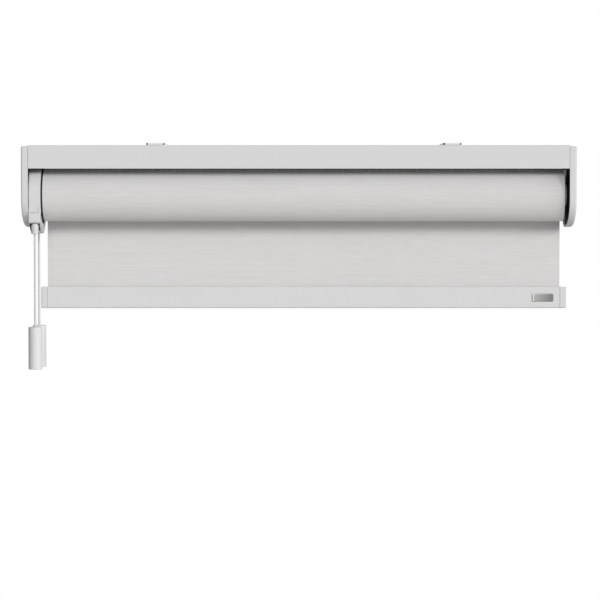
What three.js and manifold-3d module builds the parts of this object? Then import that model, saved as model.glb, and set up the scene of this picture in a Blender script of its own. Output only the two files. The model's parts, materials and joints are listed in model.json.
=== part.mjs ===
// Roller blind on a ceiling headrail, wound by a pull cord through a side clutch.
// Millimetres. +X runs along the headrail, +Y points away from the room and +Z is up.
// The origin is on the ceiling, midway along and midway across the headrail.
import * as THREE from "three";
import { mergeVertices } from "three/addons/utils/BufferGeometryUtils.js";
import Module from "manifold-3d";

const wasm = await Module();
wasm.setup();

// ---------------------------------------------------------------- driving dimensions
const WIDTH = 600; // over the end caps
const DEPTH = 88; // headrail and end caps, front to back
const CEILING_GAP = 2.5; // ceiling to the top of the headrail
const FIT = 0.3; // between pieces that seat on or in each other

// Headrail extrusion
const RAIL_WALL = 1.8;
const FASCIA_HEIGHT = 25.3;
const REAR_FLANGE_HEIGHT = 18;
const RAIL_CORNER = 1;
const HOOK_SETBACK = 13; // front or rear face to the middle of the nearer hook channel
const HOOK_SLOT = 6; // mouth of a hook channel
const HOOK_CHANNEL = 11; // inside width of a hook channel
const HOOK_DEPTH = 4; // inside depth of a hook channel
const PORT_DROP = 13; // headrail top to the middle of a screw port
const PORT_SLOT = 1.6;
const LIP_THICK = 1;
const LIP_OVERLAP = 8; // of the lip behind the fascia
const LIP_SHOW = 0.35; // of the lip below the fascia
const LIP_INSET = 3.3; // lip end inside the edge of the fabric
const BRUSH_THICK = 0.8;
const BRUSH_SHOW = 1.2; // of the brush below the fascia

// End caps and side plates
const CAP_THICK = 7.4;
const CAP_DROP = 1.1; // headrail top to cap top
const CAP_HEIGHT = 87.8;
const CAP_WALL = 2.2;
const CAP_LOW_POINT = 58; // front face to the lowest point of the cap
const CAP_BELLY = 33; // height of the curved lower part
const CAP_CORNER = 2;
const CAP_FILLET = 1.5;
const PLATE_THICK = 2;
const STUD_RADIUS = 3;

// Ceiling brackets
const BRACKET_WIDTH = 20;
const BRACKET_TAB_WIDTH = 16;
const BRACKET_TAB_LENGTH = 4;
const BRACKET_FRONT = 6; // headrail face to the front of the bracket
const BRACKET_REAR = 4; // bracket end to the rear face of the headrail
const BRACKET_SKIN = 1;
const BRACKET_CENTRES = 321.4;
const BRACKET_SHIFT = 5.4; // middle of the two brackets from the middle of the headrail
const HOOK_THICK = 1.8;
const HOOK_TOE = 2.2;
const HOOK_WIDTH = 13;
const LATCH_PLATE = 0.9;
const LATCH_THUMB = 5; // of the latch beyond the rear face of the headrail

// Roller
const AXIS_SETBACK = 37; // front face to the roller axis
const AXIS_DROP = 53.4; // headrail top to the roller axis
const ROLL_RADIUS = 29.2; // over the wound fabric
const TUBE_RADIUS = 22.5;
const TUBE_WALL = 1.2;
const KEY_WIDTH = 4;
const KEY_DEPTH = 1.8;
const KEY_WALL = 1;
const FLANGE_THICK = 2.1;
const CROWN_LENGTH = 32;
const GUARD_RADIUS = ROLL_RADIUS - 0.6; // disc that keeps the fabric's edge off the clutch
const GUARD_THICK = 0.8;
const IDLER_LENGTH = 42;
const IDLER_GAP = 4.4; // fabric edge to the right side plate
const BUSH_RADIUS = 12;
const PIN_RADIUS = 4;
const PIN_REACH = 4.2; // of the pin beyond the inner face of the right side plate
const COLLAR_RADIUS = 6;
const SOCKET_RADIUS = 8;

// Cord clutch
const CLUTCH_WIDTH = 13.1; // side plate to the face beside the fabric
const CLUTCH_GAP = 1.7; // clutch face to the edge of the fabric
const CLUTCH_RADIUS = 32.5;
const LOBE_RADIUS = 30.7;
const LOBE_DROP = 11.6;
const CLUTCH_WALL = 2;
const COVER_THICK = 2.5;
const SHEAVE_RADIUS = 17; // to the middle of the cord
const SHEAVE_RIM = 1.4; // of the flanges beyond the cord
const SHEAVE_WIDTH = 5.2;
const SHEAVE_FLANGE = 1;
const SPIGOT_RADIUS = 8.7;
const SPIGOT_LENGTH = 40;
const HUB_WALL = 1.8;
const HUB_LENGTH = 11;
const SPRING_WIRE = 1.2;
const BRAKE_LENGTH = 15;
const RETURN_SPRING_WIDTH = 1;
const RETURN_SPRING_TURNS = 3;

// Cords and tassels
const CORD_DIAMETER = 2.5;
const CORD_CLEAR = 0.45; // round a cord in a bore
const CORD_INSET = 6.6; // cap's inner face to the cords
const FRONT_CORD_OFFSET = 27.3; // roller axis forward to the front cord
const NOZZLE_RADIUS = 4;
const NOZZLE_HEIGHT = 11.4;
const REAR_NOZZLE_RADIUS = 3.4;
const REAR_NOZZLE_HEIGHT = 5.4;
const NOZZLE_DOME = 0.85; // height of a nozzle's dome to its radius
const DOME_STEPS = 5;
const CORD_DROP = 100.7; // front nozzle mouth to the top of a tassel
const TASSEL_RADIUS = 7.45;
const TASSEL_HEIGHT = 46;
const TASSEL_TOP = 6; // solid top of a tassel
const TASSEL_BORE = 4.6;
const TASSEL_PLUG = 5;
const KNOT_RADIUS = 3;
const GUIDE_TOP = 20; // roller axis down to the top of the guide block
const GUIDE_HEIGHT = 11.1;
const GUIDE_FACE = 3.1; // front cord forward to the face of the guide block
const GUIDE_SLANT = 1.7; // chamfer under that face

// Bottom bar
const PANEL_DROP = 101.6; // roller axis to the top of the bottom bar
const FABRIC_THICK = 0.5;
const BAR_THICK = 8.4;
const BAR_HEIGHT = 23.7;
const BAR_WALL = 1.3;
const BAR_CAP = 7.1;
const BAR_CORNER = 2;
const BAR_SLOT = 1.8; // mouth that the fabric passes through
const SPLINE_WIDTH = 4.4;
const SPLINE_HEIGHT = 3.4;
const TENON_LENGTH = 12;
const BADGE_WIDTH = 23.2;
const BADGE_HEIGHT = 8.2;
const BADGE_THICK = 0.9;
const BADGE_POCKET = 0.5;
const BADGE_END = 7.3; // badge to the right end of the fabric
const BADGE_DROP = 7.9; // top of the bar to the top of the badge

// Screws
const SCREW_RADIUS = 1.5;
const SCREW_HEAD_RADIUS = 2.6;
const SCREW_HEAD = 1.8;
const SCREW_BITE = 9; // of a cap screw in its port
const CLUTCH_SCREW_PITCH = 10;
const COVER_SCREW_RADIUS = 1.1;
const COVER_SINK = 1.2; // depth of the screw heads' seats in the cover
const COVER_SCREW_OFFSET = 25;

// ---------------------------------------------------------------- places that follow
const FRONT = -DEPTH / 2;
const REAR = DEPTH / 2;
const RAIL_TOP = -CEILING_GAP;
const CAP_INNER = WIDTH / 2 - CAP_THICK; // inner faces of the caps and side plates
const PLATE_OUTER = CAP_INNER + PLATE_THICK;
const AXIS_Y = FRONT + AXIS_SETBACK;
const AXIS_Z = RAIL_TOP - AXIS_DROP;
const CLUTCH_FACE = -CAP_INNER + CLUTCH_WIDTH;
const COVER_BACK = CLUTCH_FACE - COVER_THICK;
const HOUSING_LEFT = -CAP_INNER + FIT;
const HOUSING_RIGHT = COVER_BACK - FIT;
const FABRIC_LEFT = CLUTCH_FACE + CLUTCH_GAP;
const FABRIC_RIGHT = CAP_INNER - IDLER_GAP;
const CORD_X = -CAP_INNER + CORD_INSET;
const CORD_RADIUS = CORD_DIAMETER / 2;
const CORD_BORE = CORD_RADIUS + CORD_CLEAR;
const PORT_RADIUS = SCREW_RADIUS + FIT; // inside radius of a screw port
const PORT_OFFSET = DEPTH / 2 - CAP_WALL - 2 * FIT - SCREW_HEAD_RADIUS; // head clear of the cap's rim
const PORT_OUTER = DEPTH / 2 - RAIL_WALL / 2 - PORT_OFFSET; // outside radius, sunk in the flange
const PORT_Z = RAIL_TOP - PORT_DROP;
const ROUND = 32; // sides of a large round piece
const SMALL_ROUND = 12; // sides of a small one

// ---------------------------------------------------------------- finishes
const FINISHES = {
  powderCoat: { color: 0xd3d4d3, roughness: 0.55, metalness: 0 },
  mouldedGrey: { color: 0xd4d5d4, roughness: 0.5, metalness: 0 },
  darkNylon: { color: 0x3a3b3c, roughness: 0.6, metalness: 0 },
  acetal: { color: 0xe4e4e0, roughness: 0.4, metalness: 0 },
  zincSteel: { color: 0xa9acb0, roughness: 0.35, metalness: 1 },
  springSteel: { color: 0x8d9094, roughness: 0.3, metalness: 1 },
  millAluminium: { color: 0xc6c8cb, roughness: 0.4, metalness: 1 },
  brushedBadge: { color: 0xb0b0ae, roughness: 0.35, metalness: 1 },
  cloth: { color: 0xd0cfce, roughness: 0.9, metalness: 0 },
  braid: { color: 0xd6d6d4, roughness: 0.85, metalness: 0 },
};

// ---------------------------------------------------------------- solids
/** A closed geometry as a solid that can be joined and cut. */
function solid(geometry) {
  const bare = geometry.clone();
  bare.deleteAttribute("normal");
  bare.deleteAttribute("uv");
  const merged = mergeVertices(bare, 1e-4);
  return new wasm.Manifold(
    new wasm.Mesh({
      numProp: 3,
      vertProperties: merged.getAttribute("position").array,
      triVerts: new Uint32Array(merged.index.array),
    }),
  );
}

/** A solid as a flat-shaded three.js geometry. */
function geometryOf(made) {
  const mesh = made.getMesh();
  const geometry = new THREE.BufferGeometry();
  geometry.setAttribute("position", new THREE.BufferAttribute(mesh.vertProperties, 3));
  geometry.setIndex(new THREE.BufferAttribute(mesh.triVerts, 1));
  const flat = geometry.toNonIndexed();
  flat.computeVertexNormals();
  return flat;
}

/** An outline in the Y-Z plane, extruded along X from x0 to x1. */
function alongX(shape, x0, x1, curveSegments = 7) {
  const geometry = new THREE.ExtrudeGeometry(shape, {
    depth: x1 - x0,
    bevelEnabled: false,
    curveSegments,
  });
  return toYZ(geometry, x0);
}

/** The same with both ends rounded by a fillet. */
function roundedAlongX(shape, x0, x1, fillet, segments) {
  const geometry = new THREE.ExtrudeGeometry(shape, {
    depth: x1 - x0 - 2 * fillet,
    bevelThickness: fillet,
    bevelSize: fillet,
    bevelOffset: -fillet,
    bevelSegments: segments,
    curveSegments: 7,
  });
  return toYZ(geometry, x0 + fillet);
}

/** Turns an extrusion so that its outline lies in Y-Z and its depth along X. */
function toYZ(geometry, x) {
  const basis = new THREE.Matrix4().makeBasis(
    new THREE.Vector3(0, 1, 0),
    new THREE.Vector3(0, 0, 1),
    new THREE.Vector3(1, 0, 0),
  );
  return geometry.applyMatrix4(basis).translate(x, 0, 0);
}

/** A shape turned about the X axis, from [x, radius] pairs in anticlockwise order. */
function turnedX(profile, sides = ROUND) {
  const points = profile.map(([x, radius]) => new THREE.Vector2(radius, x));
  return new THREE.LatheGeometry(points, sides).rotateZ(-Math.PI / 2);
}

/** A shape turned about the Z axis, from [z, radius] pairs in anticlockwise order. */
function turnedZ(profile, sides = SMALL_ROUND) {
  const points = profile.map(([z, radius]) => new THREE.Vector2(radius, z));
  return new THREE.LatheGeometry(points, sides).rotateX(Math.PI / 2);
}

/** A solid rod along X. */
function rodX(x0, x1, radius, sides = ROUND) {
  return turnedX([[x0, 0], [x0, radius], [x1, radius], [x1, 0]], sides);
}

/** A ring along X. */
function ringX(x0, x1, inner, outer, sides = ROUND) {
  return turnedX([[x0, outer], [x1, outer], [x1, inner], [x0, inner], [x0, outer]], sides);
}

/** A box between two corners. */
function block([x0, y0, z0], [x1, y1, z1]) {
  const geometry = new THREE.BoxGeometry(x1 - x0, y1 - y0, z1 - z0);
  return geometry.translate((x0 + x1) / 2, (y0 + y1) / 2, (z0 + z1) / 2);
}

/** A round section swept along a curve. */
function swept(curve, radius, steps, sides) {
  const section = new THREE.Shape();
  for (let i = 0; i < sides; i++) {
    const angle = (2 * Math.PI * i) / sides;
    const point = [radius * Math.cos(angle), radius * Math.sin(angle)];
    if (i === 0) section.moveTo(...point);
    else section.lineTo(...point);
  }
  section.closePath();
  return new THREE.ExtrudeGeometry(section, { steps, extrudePath: curve });
}

/** Adds one named piece to a group. */
function add(group, name, made, finish) {
  const geometry = made.isBufferGeometry ? made : geometryOf(made);
  const mesh = new THREE.Mesh(geometry, new THREE.MeshStandardMaterial(FINISHES[finish]));
  mesh.name = name;
  group.add(mesh);
  return mesh;
}

/** A group at a place. */
function groupAt(x, y, z) {
  const group = new THREE.Group();
  group.position.set(x, y, z);
  return group;
}

/** A pan-head screw along X, its head's seat at x = 0, its shank towards +X. */
function screw(shankLength, radius = SCREW_RADIUS, headRadius = SCREW_HEAD_RADIUS, head = SCREW_HEAD) {
  const body = turnedX(
    [
      [-head, 0],
      [-head, headRadius * 0.7],
      [-head * 0.55, headRadius],
      [0, headRadius],
      [0, radius],
      [shankLength - radius, radius],
      [shankLength, radius * 0.4],
      [shankLength, 0],
    ],
    SMALL_ROUND,
  );
  const slot = block(
    [-head - 1, -headRadius * 0.6, -radius * 0.25],
    [-head * 0.45, headRadius * 0.6, radius * 0.25],
  );
  return solid(body).subtract(solid(slot));
}

// ---------------------------------------------------------------- headrail
/** Steps of a hook channel's mouth and walls along the top, front to rear. */
function channelTop(middle) {
  const mouth = HOOK_SLOT / 2;
  const inside = HOOK_CHANNEL / 2;
  const floor = -RAIL_WALL - HOOK_DEPTH;
  return [
    [middle - mouth, 0],
    [middle - mouth, -RAIL_WALL],
    [middle - inside, -RAIL_WALL],
    [middle - inside, floor],
    [middle + inside, floor],
    [middle + inside, -RAIL_WALL],
    [middle + mouth, -RAIL_WALL],
    [middle + mouth, 0],
  ];
}

/** The same channel's outside, along the underside, front to rear. */
function channelUnderside(middle) {
  const outside = HOOK_CHANNEL / 2 + RAIL_WALL;
  const floor = -2 * RAIL_WALL - HOOK_DEPTH;
  return [
    [middle - outside, -RAIL_WALL],
    [middle - outside, floor],
    [middle + outside, floor],
    [middle + outside, -RAIL_WALL],
  ];
}

/** A three-quarter round port that a cap screw cuts its thread in. */
function portShape(middle, mouthAngle) {
  const halfMouth = Math.asin(PORT_SLOT / 2 / PORT_RADIUS);
  const start = mouthAngle + halfMouth;
  const end = mouthAngle + 2 * Math.PI - halfMouth;
  const shape = new THREE.Shape();
  shape.absarc(middle, -PORT_DROP, PORT_OUTER, start, end, false);
  shape.absarc(middle, -PORT_DROP, PORT_RADIUS, end, start, true);
  shape.closePath();
  return shape;
}

function railShape() {
  const frontHook = FRONT + HOOK_SETBACK;
  const rearHook = REAR - HOOK_SETBACK;
  const points = [
    [FRONT, -FASCIA_HEIGHT],
    [FRONT + RAIL_WALL, -FASCIA_HEIGHT],
    [FRONT + RAIL_WALL, -RAIL_WALL],
    ...channelUnderside(frontHook),
    ...channelUnderside(rearHook),
    [REAR - RAIL_WALL, -RAIL_WALL],
    [REAR - RAIL_WALL, -REAR_FLANGE_HEIGHT],
    [REAR, -REAR_FLANGE_HEIGHT],
    [REAR, -RAIL_CORNER],
    [REAR - RAIL_CORNER, 0],
    ...channelTop(rearHook).reverse(),
    ...channelTop(frontHook).reverse(),
  ];
  const shape = new THREE.Shape(points.map(([y, z]) => new THREE.Vector2(y, z)));
  shape.lineTo(FRONT + RAIL_CORNER, 0);
  shape.absarc(FRONT + RAIL_CORNER, -RAIL_CORNER, RAIL_CORNER, Math.PI / 2, Math.PI, false);
  shape.closePath();
  return shape;
}

function makeHeadrail() {
  const group = groupAt(0, 0, RAIL_TOP);
  const left = -CAP_INNER + FIT;
  const right = CAP_INNER - FIT;
  const profile = solid(alongX(railShape(), left, right, 4))
    .add(solid(alongX(portShape(-PORT_OFFSET, 0), left, right)))
    .add(solid(alongX(portShape(PORT_OFFSET, Math.PI), left, right)));
  add(group, "headrail_profile", profile, "powderCoat");

  const lipFront = FRONT + RAIL_WALL + FIT;
  const lip = block(
    [FABRIC_LEFT + LIP_INSET, lipFront, -FASCIA_HEIGHT - LIP_SHOW],
    [FABRIC_RIGHT - LIP_INSET, lipFront + LIP_THICK, -FASCIA_HEIGHT + LIP_OVERLAP],
  );
  add(group, "fascia_lip", lip, "mouldedGrey");

  const pileFront = lipFront + LIP_THICK + FIT;
  const pile = block(
    [left, pileFront, -FASCIA_HEIGHT - BRUSH_SHOW],
    [right, pileFront + BRUSH_THICK, -FASCIA_HEIGHT + LIP_OVERLAP],
  );
  add(group, "fascia_brush", pile, "darkNylon");
  return group;
}

// ---------------------------------------------------------------- end caps
/** Side outline of an end cap in Y-Z, made smaller all round by inset. */
function capShape(inset) {
  const top = RAIL_TOP - CAP_DROP - inset;
  const front = FRONT + inset;
  const rear = REAR - inset;
  const low = FRONT + CAP_LOW_POINT;
  const shoulder = RAIL_TOP - CAP_DROP - CAP_HEIGHT + CAP_BELLY;
  const corner = Math.max(CAP_CORNER - inset, 0.5);
  const belly = CAP_BELLY - inset;
  const shape = new THREE.Shape();
  shape.moveTo(front, shoulder);
  shape.absellipse(low, shoulder, low - front, belly, Math.PI, 1.5 * Math.PI, false);
  shape.absellipse(low, shoulder, rear - low, belly, 1.5 * Math.PI, 2 * Math.PI, false);
  shape.lineTo(rear, top - corner);
  shape.absarc(rear - corner, top - corner, corner, 0, Math.PI / 2, false);
  shape.absarc(front + corner, top - corner, corner, Math.PI / 2, Math.PI, false);
  shape.closePath();
  return shape;
}

/** Where pieces are fixed on a side plate, as [place, y, z]. */
const PORTS = [
  ["front", -PORT_OFFSET, PORT_Z],
  ["rear", PORT_OFFSET, PORT_Z],
];
const CLUTCH_SCREWS = [
  ["upper", AXIS_Y, AXIS_Z + CLUTCH_SCREW_PITCH / 2],
  ["lower", AXIS_Y, AXIS_Z - CLUTCH_SCREW_PITCH / 2],
];

/** Snap studs inside a cap, clear of the screws and of the middle. */
function studPlaces() {
  const low = RAIL_TOP - CAP_DROP - CAP_HEIGHT;
  return [
    [FRONT + 14, AXIS_Z],
    [REAR - 14, AXIS_Z],
    [FRONT + CAP_LOW_POINT, low + 12],
  ];
}

/** The dished cover on one side: side is -1 on the left and 1 on the right. */
function makeCap(side) {
  const outer = WIDTH / 2;
  const blank = roundedAlongX(capShape(0), CAP_INNER - CAP_THICK, outer, CAP_FILLET, 2);
  const inside = block([CAP_INNER - 2 * CAP_THICK, 2 * FRONT, -3 * DEPTH], [CAP_INNER, 2 * REAR, DEPTH]);
  const dish = alongX(capShape(CAP_WALL), CAP_INNER - 1, outer - CAP_WALL);
  let cap = solid(blank).subtract(solid(inside)).subtract(solid(dish));
  for (const [y, z] of studPlaces()) {
    const stud = rodX(PLATE_OUTER + FIT, outer - CAP_WALL + 0.5, STUD_RADIUS, SMALL_ROUND);
    cap = cap.add(solid(stud.translate(0, y, z)));
  }
  return side > 0 ? cap : cap.mirror([1, 0, 0]);
}

/** The steel plate behind a cap, with its holes. */
function makeSidePlate(side, holes) {
  let plate = solid(alongX(capShape(CAP_WALL + FIT), CAP_INNER, PLATE_OUTER));
  for (const [y, z, radius] of holes) {
    const drill = rodX(CAP_INNER - 1, PLATE_OUTER + 1, radius, SMALL_ROUND);
    plate = plate.subtract(solid(drill.translate(0, y, z)));
  }
  return side > 0 ? plate : plate.mirror([1, 0, 0]);
}

function makeEnds() {
  const group = groupAt(0, 0, 0);
  const through = SCREW_RADIUS + FIT;
  const portHoles = PORTS.map(([, y, z]) => [y, z, through]);
  const clutchHoles = CLUTCH_SCREWS.map(([, y, z]) => [y, z, through]);
  add(group, "left_end_cap", makeCap(-1), "mouldedGrey");
  add(group, "right_end_cap", makeCap(1), "mouldedGrey");
  add(group, "left_side_plate", makeSidePlate(-1, [...portHoles, ...clutchHoles]), "zincSteel");
  const pinHole = [AXIS_Y, AXIS_Z, PIN_RADIUS + FIT];
  add(group, "right_side_plate", makeSidePlate(1, [...portHoles, pinHole]), "zincSteel");

  const shank = FIT + PLATE_THICK + SCREW_BITE;
  for (const [place, y, z] of PORTS) {
    const left = add(group, `left_cap_screw_${place}`, screw(shank), "zincSteel");
    left.position.set(-PLATE_OUTER - FIT, y, z);
    const right = add(group, `right_cap_screw_${place}`, screw(shank), "zincSteel");
    right.position.set(PLATE_OUTER + FIT, y, z);
    right.rotation.z = Math.PI;
  }

  const socket = ringX(PLATE_OUTER + FIT, WIDTH / 2 - CAP_WALL - FIT, PIN_RADIUS + FIT, SOCKET_RADIUS, 24);
  add(group, "idler_socket", socket, "acetal").position.set(0, AXIS_Y, AXIS_Z);
  return group;
}

// ---------------------------------------------------------------- ceiling brackets
/** A hook's side outline: a leg from the plate down, and a toe towards direction. */
function hookShape(legMiddle, top, direction) {
  const half = HOOK_THICK / 2;
  const toeTop = -CEILING_GAP - RAIL_WALL - 2 * FIT;
  const toeBottom = toeTop - HOOK_THICK;
  const heel = legMiddle - direction * half;
  const shin = legMiddle + direction * half;
  const toe = shin + direction * HOOK_TOE;
  const shape = new THREE.Shape();
  shape.moveTo(heel, top);
  shape.lineTo(heel, toeBottom);
  shape.lineTo(toe, toeBottom);
  shape.lineTo(toe, toeTop);
  shape.lineTo(shin, toeTop);
  shape.lineTo(shin, top);
  shape.closePath();
  return shape;
}

/** A bracket: a shallow channel over the headrail, with a fixed front hook. */
function makeBracket() {
  const front = FRONT + BRACKET_FRONT;
  const rear = REAR - BRACKET_REAR;
  const wide = BRACKET_WIDTH / 2;
  const tab = BRACKET_TAB_WIDTH / 2;
  const underside = -CEILING_GAP + FIT;
  const latchSide = HOOK_WIDTH / 2 + FIT;
  const hookLeg = FRONT + HOOK_SETBACK;
  const body = block([-wide, front + BRACKET_TAB_LENGTH, underside], [wide, rear, 0]);
  const nose = block([-tab, front, underside], [tab, front + BRACKET_TAB_LENGTH + 1, 0]);
  const run = block([-latchSide, hookLeg + HOOK_SLOT, underside - 1], [latchSide, rear + 1, -BRACKET_SKIN]);
  const hook = alongX(hookShape(hookLeg, underside + 0.5, -1), -HOOK_WIDTH / 2, HOOK_WIDTH / 2);
  return solid(body).add(solid(nose)).subtract(solid(run)).add(solid(hook));
}

/** The sprung latch that slides in the bracket's channel and hooks the headrail's rear. */
function makeLatch() {
  const underside = -CEILING_GAP + FIT;
  const top = underside + LATCH_PLATE;
  const half = HOOK_WIDTH / 2;
  const leg = REAR - HOOK_SETBACK + HOOK_SLOT / 2 - HOOK_THICK / 2 - FIT;
  const front = leg - HOOK_SLOT;
  const thumb = REAR + LATCH_THUMB;
  const plate = block([-half, front, underside], [half, thumb, top]);
  const grip = block([-half, thumb - HOOK_THICK, underside - HOOK_DEPTH], [half, thumb, underside + 0.4]);
  const hook = alongX(hookShape(leg, underside + 0.4, 1), -half, half);
  return solid(plate).add(solid(grip)).add(solid(hook));
}

function makeBrackets() {
  const group = new THREE.Group();
  for (const [side, sign] of [["left", -1], ["right", 1]]) {
    const bracket = groupAt(BRACKET_SHIFT + (sign * BRACKET_CENTRES) / 2, 0, 0);
    add(bracket, `${side}_bracket_plate`, makeBracket(), "zincSteel");
    add(bracket, `${side}_bracket_latch`, makeLatch(), "acetal");
    group.add(bracket);
  }
  return group;
}

// ---------------------------------------------------------------- clutch
/** Side outline of the clutch about the roller axis: a disc with a lower lobe. */
function clutchShape(inset) {
  const lean = Math.asin((CLUTCH_RADIUS - LOBE_RADIUS) / LOBE_DROP);
  const shape = new THREE.Shape();
  shape.absarc(0, 0, CLUTCH_RADIUS - inset, -lean, Math.PI + lean, false);
  shape.absarc(0, -LOBE_DROP, LOBE_RADIUS - inset, Math.PI + lean, 2 * Math.PI - lean, false);
  shape.closePath();
  return shape;
}

/** The guide block's side outline, its slanted foot towards the room. */
function guideShape(grow) {
  const face = -FRONT_CORD_OFFSET - GUIDE_FACE - grow;
  const inner = -FRONT_CORD_OFFSET + NOZZLE_RADIUS + 2 * FIT + grow;
  const top = -GUIDE_TOP + grow;
  const bottom = -GUIDE_TOP - GUIDE_HEIGHT - grow;
  const shape = new THREE.Shape();
  shape.moveTo(face, top);
  shape.lineTo(face, bottom + GUIDE_SLANT);
  shape.lineTo(face + GUIDE_SLANT, bottom);
  shape.lineTo(inner, bottom);
  shape.lineTo(inner, top);
  shape.closePath();
  return shape;
}

/** The slot in the guide block that turns the cord downwards. */
function guideSlotShape() {
  const y = -FRONT_CORD_OFFSET;
  const bend = guideBend()[1];
  const lead = cordLead();
  const climb = -GUIDE_TOP + 1 - bend;
  const drift = (climb * Math.sin(lead)) / Math.cos(lead);
  const shape = new THREE.Shape();
  shape.moveTo(y - CORD_BORE, -GUIDE_TOP - GUIDE_HEIGHT - 1);
  shape.lineTo(y + CORD_BORE, -GUIDE_TOP - GUIDE_HEIGHT - 1);
  shape.lineTo(y + CORD_BORE, bend);
  shape.lineTo(y + CORD_BORE + drift, bend + climb);
  shape.lineTo(y - CORD_BORE, bend + climb);
  shape.closePath();
  return shape;
}

/** Where the cord's slanting lead meets its vertical run, as [y, z] from the axis. */
function guideBend() {
  return [-FRONT_CORD_OFFSET, -GUIDE_TOP - GUIDE_HEIGHT / 2];
}

/** Angle on the sheave, from +Y, where the front lead leaves it. */
function leadAngle() {
  const [y, z] = guideBend();
  const reach = Math.hypot(y, z);
  return Math.atan2(z, y) + 2 * Math.PI - Math.acos(SHEAVE_RADIUS / reach);
}

/** Slant of the front lead from the vertical. */
function cordLead() {
  return Math.PI - leadAngle();
}

const REAR_CORD_OFFSET = SHEAVE_RADIUS; // roller axis back to the rear cord
const NOZZLE_TOP = -GUIDE_TOP - GUIDE_HEIGHT - FIT; // from the roller axis
const REAR_SEAT = -LOBE_DROP - Math.sqrt(LOBE_RADIUS ** 2 - (REAR_CORD_OFFSET - REAR_NOZZLE_RADIUS) ** 2) + 3;
const SHEAVE_LEFT = CORD_X - SHEAVE_WIDTH / 2;
const SHEAVE_RIGHT = CORD_X + SHEAVE_WIDTH / 2;
const HUB_RADIUS = SPIGOT_RADIUS + FIT + HUB_WALL;
const HUB_RIGHT = SHEAVE_RIGHT + HUB_LENGTH;
const SPRING_RADIUS = HUB_RADIUS + FIT + SPRING_WIRE / 2; // to the middle of the brake spring's wire
const SPIGOT_LEFT = HOUSING_LEFT + CLUTCH_WALL + FIT;
const COVER_SCREWS = [
  ["front", -COVER_SCREW_OFFSET, 10],
  ["rear", COVER_SCREW_OFFSET, 10],
];

function makeHousing() {
  const shell = alongX(clutchShape(0), HOUSING_LEFT, HOUSING_RIGHT, 14);
  const hollow = alongX(clutchShape(CLUTCH_WALL), HOUSING_LEFT + CLUTCH_WALL, HOUSING_RIGHT + 1, 14);
  const window = alongX(guideShape(FIT), HOUSING_LEFT - 1, HOUSING_RIGHT + 1);
  let housing = solid(shell).subtract(solid(hollow)).subtract(solid(window));
  for (const [, y, z] of COVER_SCREWS) {
    const boss = rodX(HOUSING_LEFT + 1, HOUSING_RIGHT, 2 * COVER_SCREW_RADIUS + FIT, SMALL_ROUND);
    const hole = rodX(HOUSING_LEFT + CLUTCH_WALL, HOUSING_RIGHT + 1, COVER_SCREW_RADIUS + FIT, SMALL_ROUND);
    housing = housing.add(solid(boss.translate(0, y, z)));
    housing = housing.subtract(solid(hole.translate(0, y, z)));
  }
  for (const [, y, z] of CLUTCH_SCREWS) {
    const hole = rodX(HOUSING_LEFT - 1, HOUSING_LEFT + CLUTCH_WALL + 1, SCREW_RADIUS + FIT, SMALL_ROUND);
    housing = housing.subtract(solid(hole.translate(0, y - AXIS_Y, z - AXIS_Z)));
  }
  const seat = turnedZ([
    [REAR_SEAT, 0],
    [REAR_SEAT, REAR_NOZZLE_RADIUS + 1],
    [REAR_SEAT + 5, REAR_NOZZLE_RADIUS + 1],
    [REAR_SEAT + 5, 0],
  ]);
  const pocket = turnedZ([
    [REAR_SEAT - 20, 0],
    [REAR_SEAT - 20, REAR_NOZZLE_RADIUS + FIT],
    [REAR_SEAT, REAR_NOZZLE_RADIUS + FIT],
    [REAR_SEAT, 0],
  ]);
  const bore = turnedZ([
    [REAR_SEAT - 1, 0],
    [REAR_SEAT - 1, CORD_BORE],
    [REAR_SEAT + 6, CORD_BORE],
    [REAR_SEAT + 6, 0],
  ]);
  const beyond = block([HOUSING_RIGHT, -DEPTH, -DEPTH], [HOUSING_RIGHT + DEPTH, DEPTH, DEPTH]);
  return housing
    .add(solid(seat.translate(CORD_X, REAR_CORD_OFFSET, 0)))
    .subtract(solid(pocket.translate(CORD_X, REAR_CORD_OFFSET, 0)))
    .subtract(solid(bore.translate(CORD_X, REAR_CORD_OFFSET, 0)))
    .subtract(solid(beyond));
}

function makeCover() {
  const fillet = 0.6;
  let cover = solid(roundedAlongX(clutchShape(0), COVER_BACK, CLUTCH_FACE, fillet, 1));
  const window = rodX(COVER_BACK - 1, CLUTCH_FACE + 1, HUB_RADIUS + 2 * FIT);
  cover = cover.subtract(solid(window));
  for (const [, y, z] of COVER_SCREWS) {
    const hole = rodX(COVER_BACK - 1, CLUTCH_FACE + 1, COVER_SCREW_RADIUS + FIT, SMALL_ROUND);
    const sink = rodX(CLUTCH_FACE - COVER_SINK, CLUTCH_FACE + 1, 2 * COVER_SCREW_RADIUS + FIT, SMALL_ROUND);
    cover = cover.subtract(solid(hole.translate(0, y, z))).subtract(solid(sink.translate(0, y, z)));
  }
  return cover;
}

/** A nozzle hanging from z = 0: a domed top, a slight taper and a flared mouth. */
function makeNozzle(radius, height) {
  const dome = radius * NOZZLE_DOME;
  const crown = CORD_BORE + FIT;
  const profile = [
    [0, CORD_BORE],
    [-height + 1, CORD_BORE],
    [-height, CORD_BORE + 0.8],
    [-height, radius - 0.6],
    [-height + 0.6, radius - 0.2],
  ];
  for (let i = 0; i <= DOME_STEPS; i++) {
    const angle = (0.5 * Math.PI * i) / DOME_STEPS;
    profile.push([dome * (Math.sin(angle) - 1), crown + (radius - crown) * Math.cos(angle)]);
  }
  profile.push([0, CORD_BORE]);
  return turnedZ(profile, 20);
}

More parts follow.
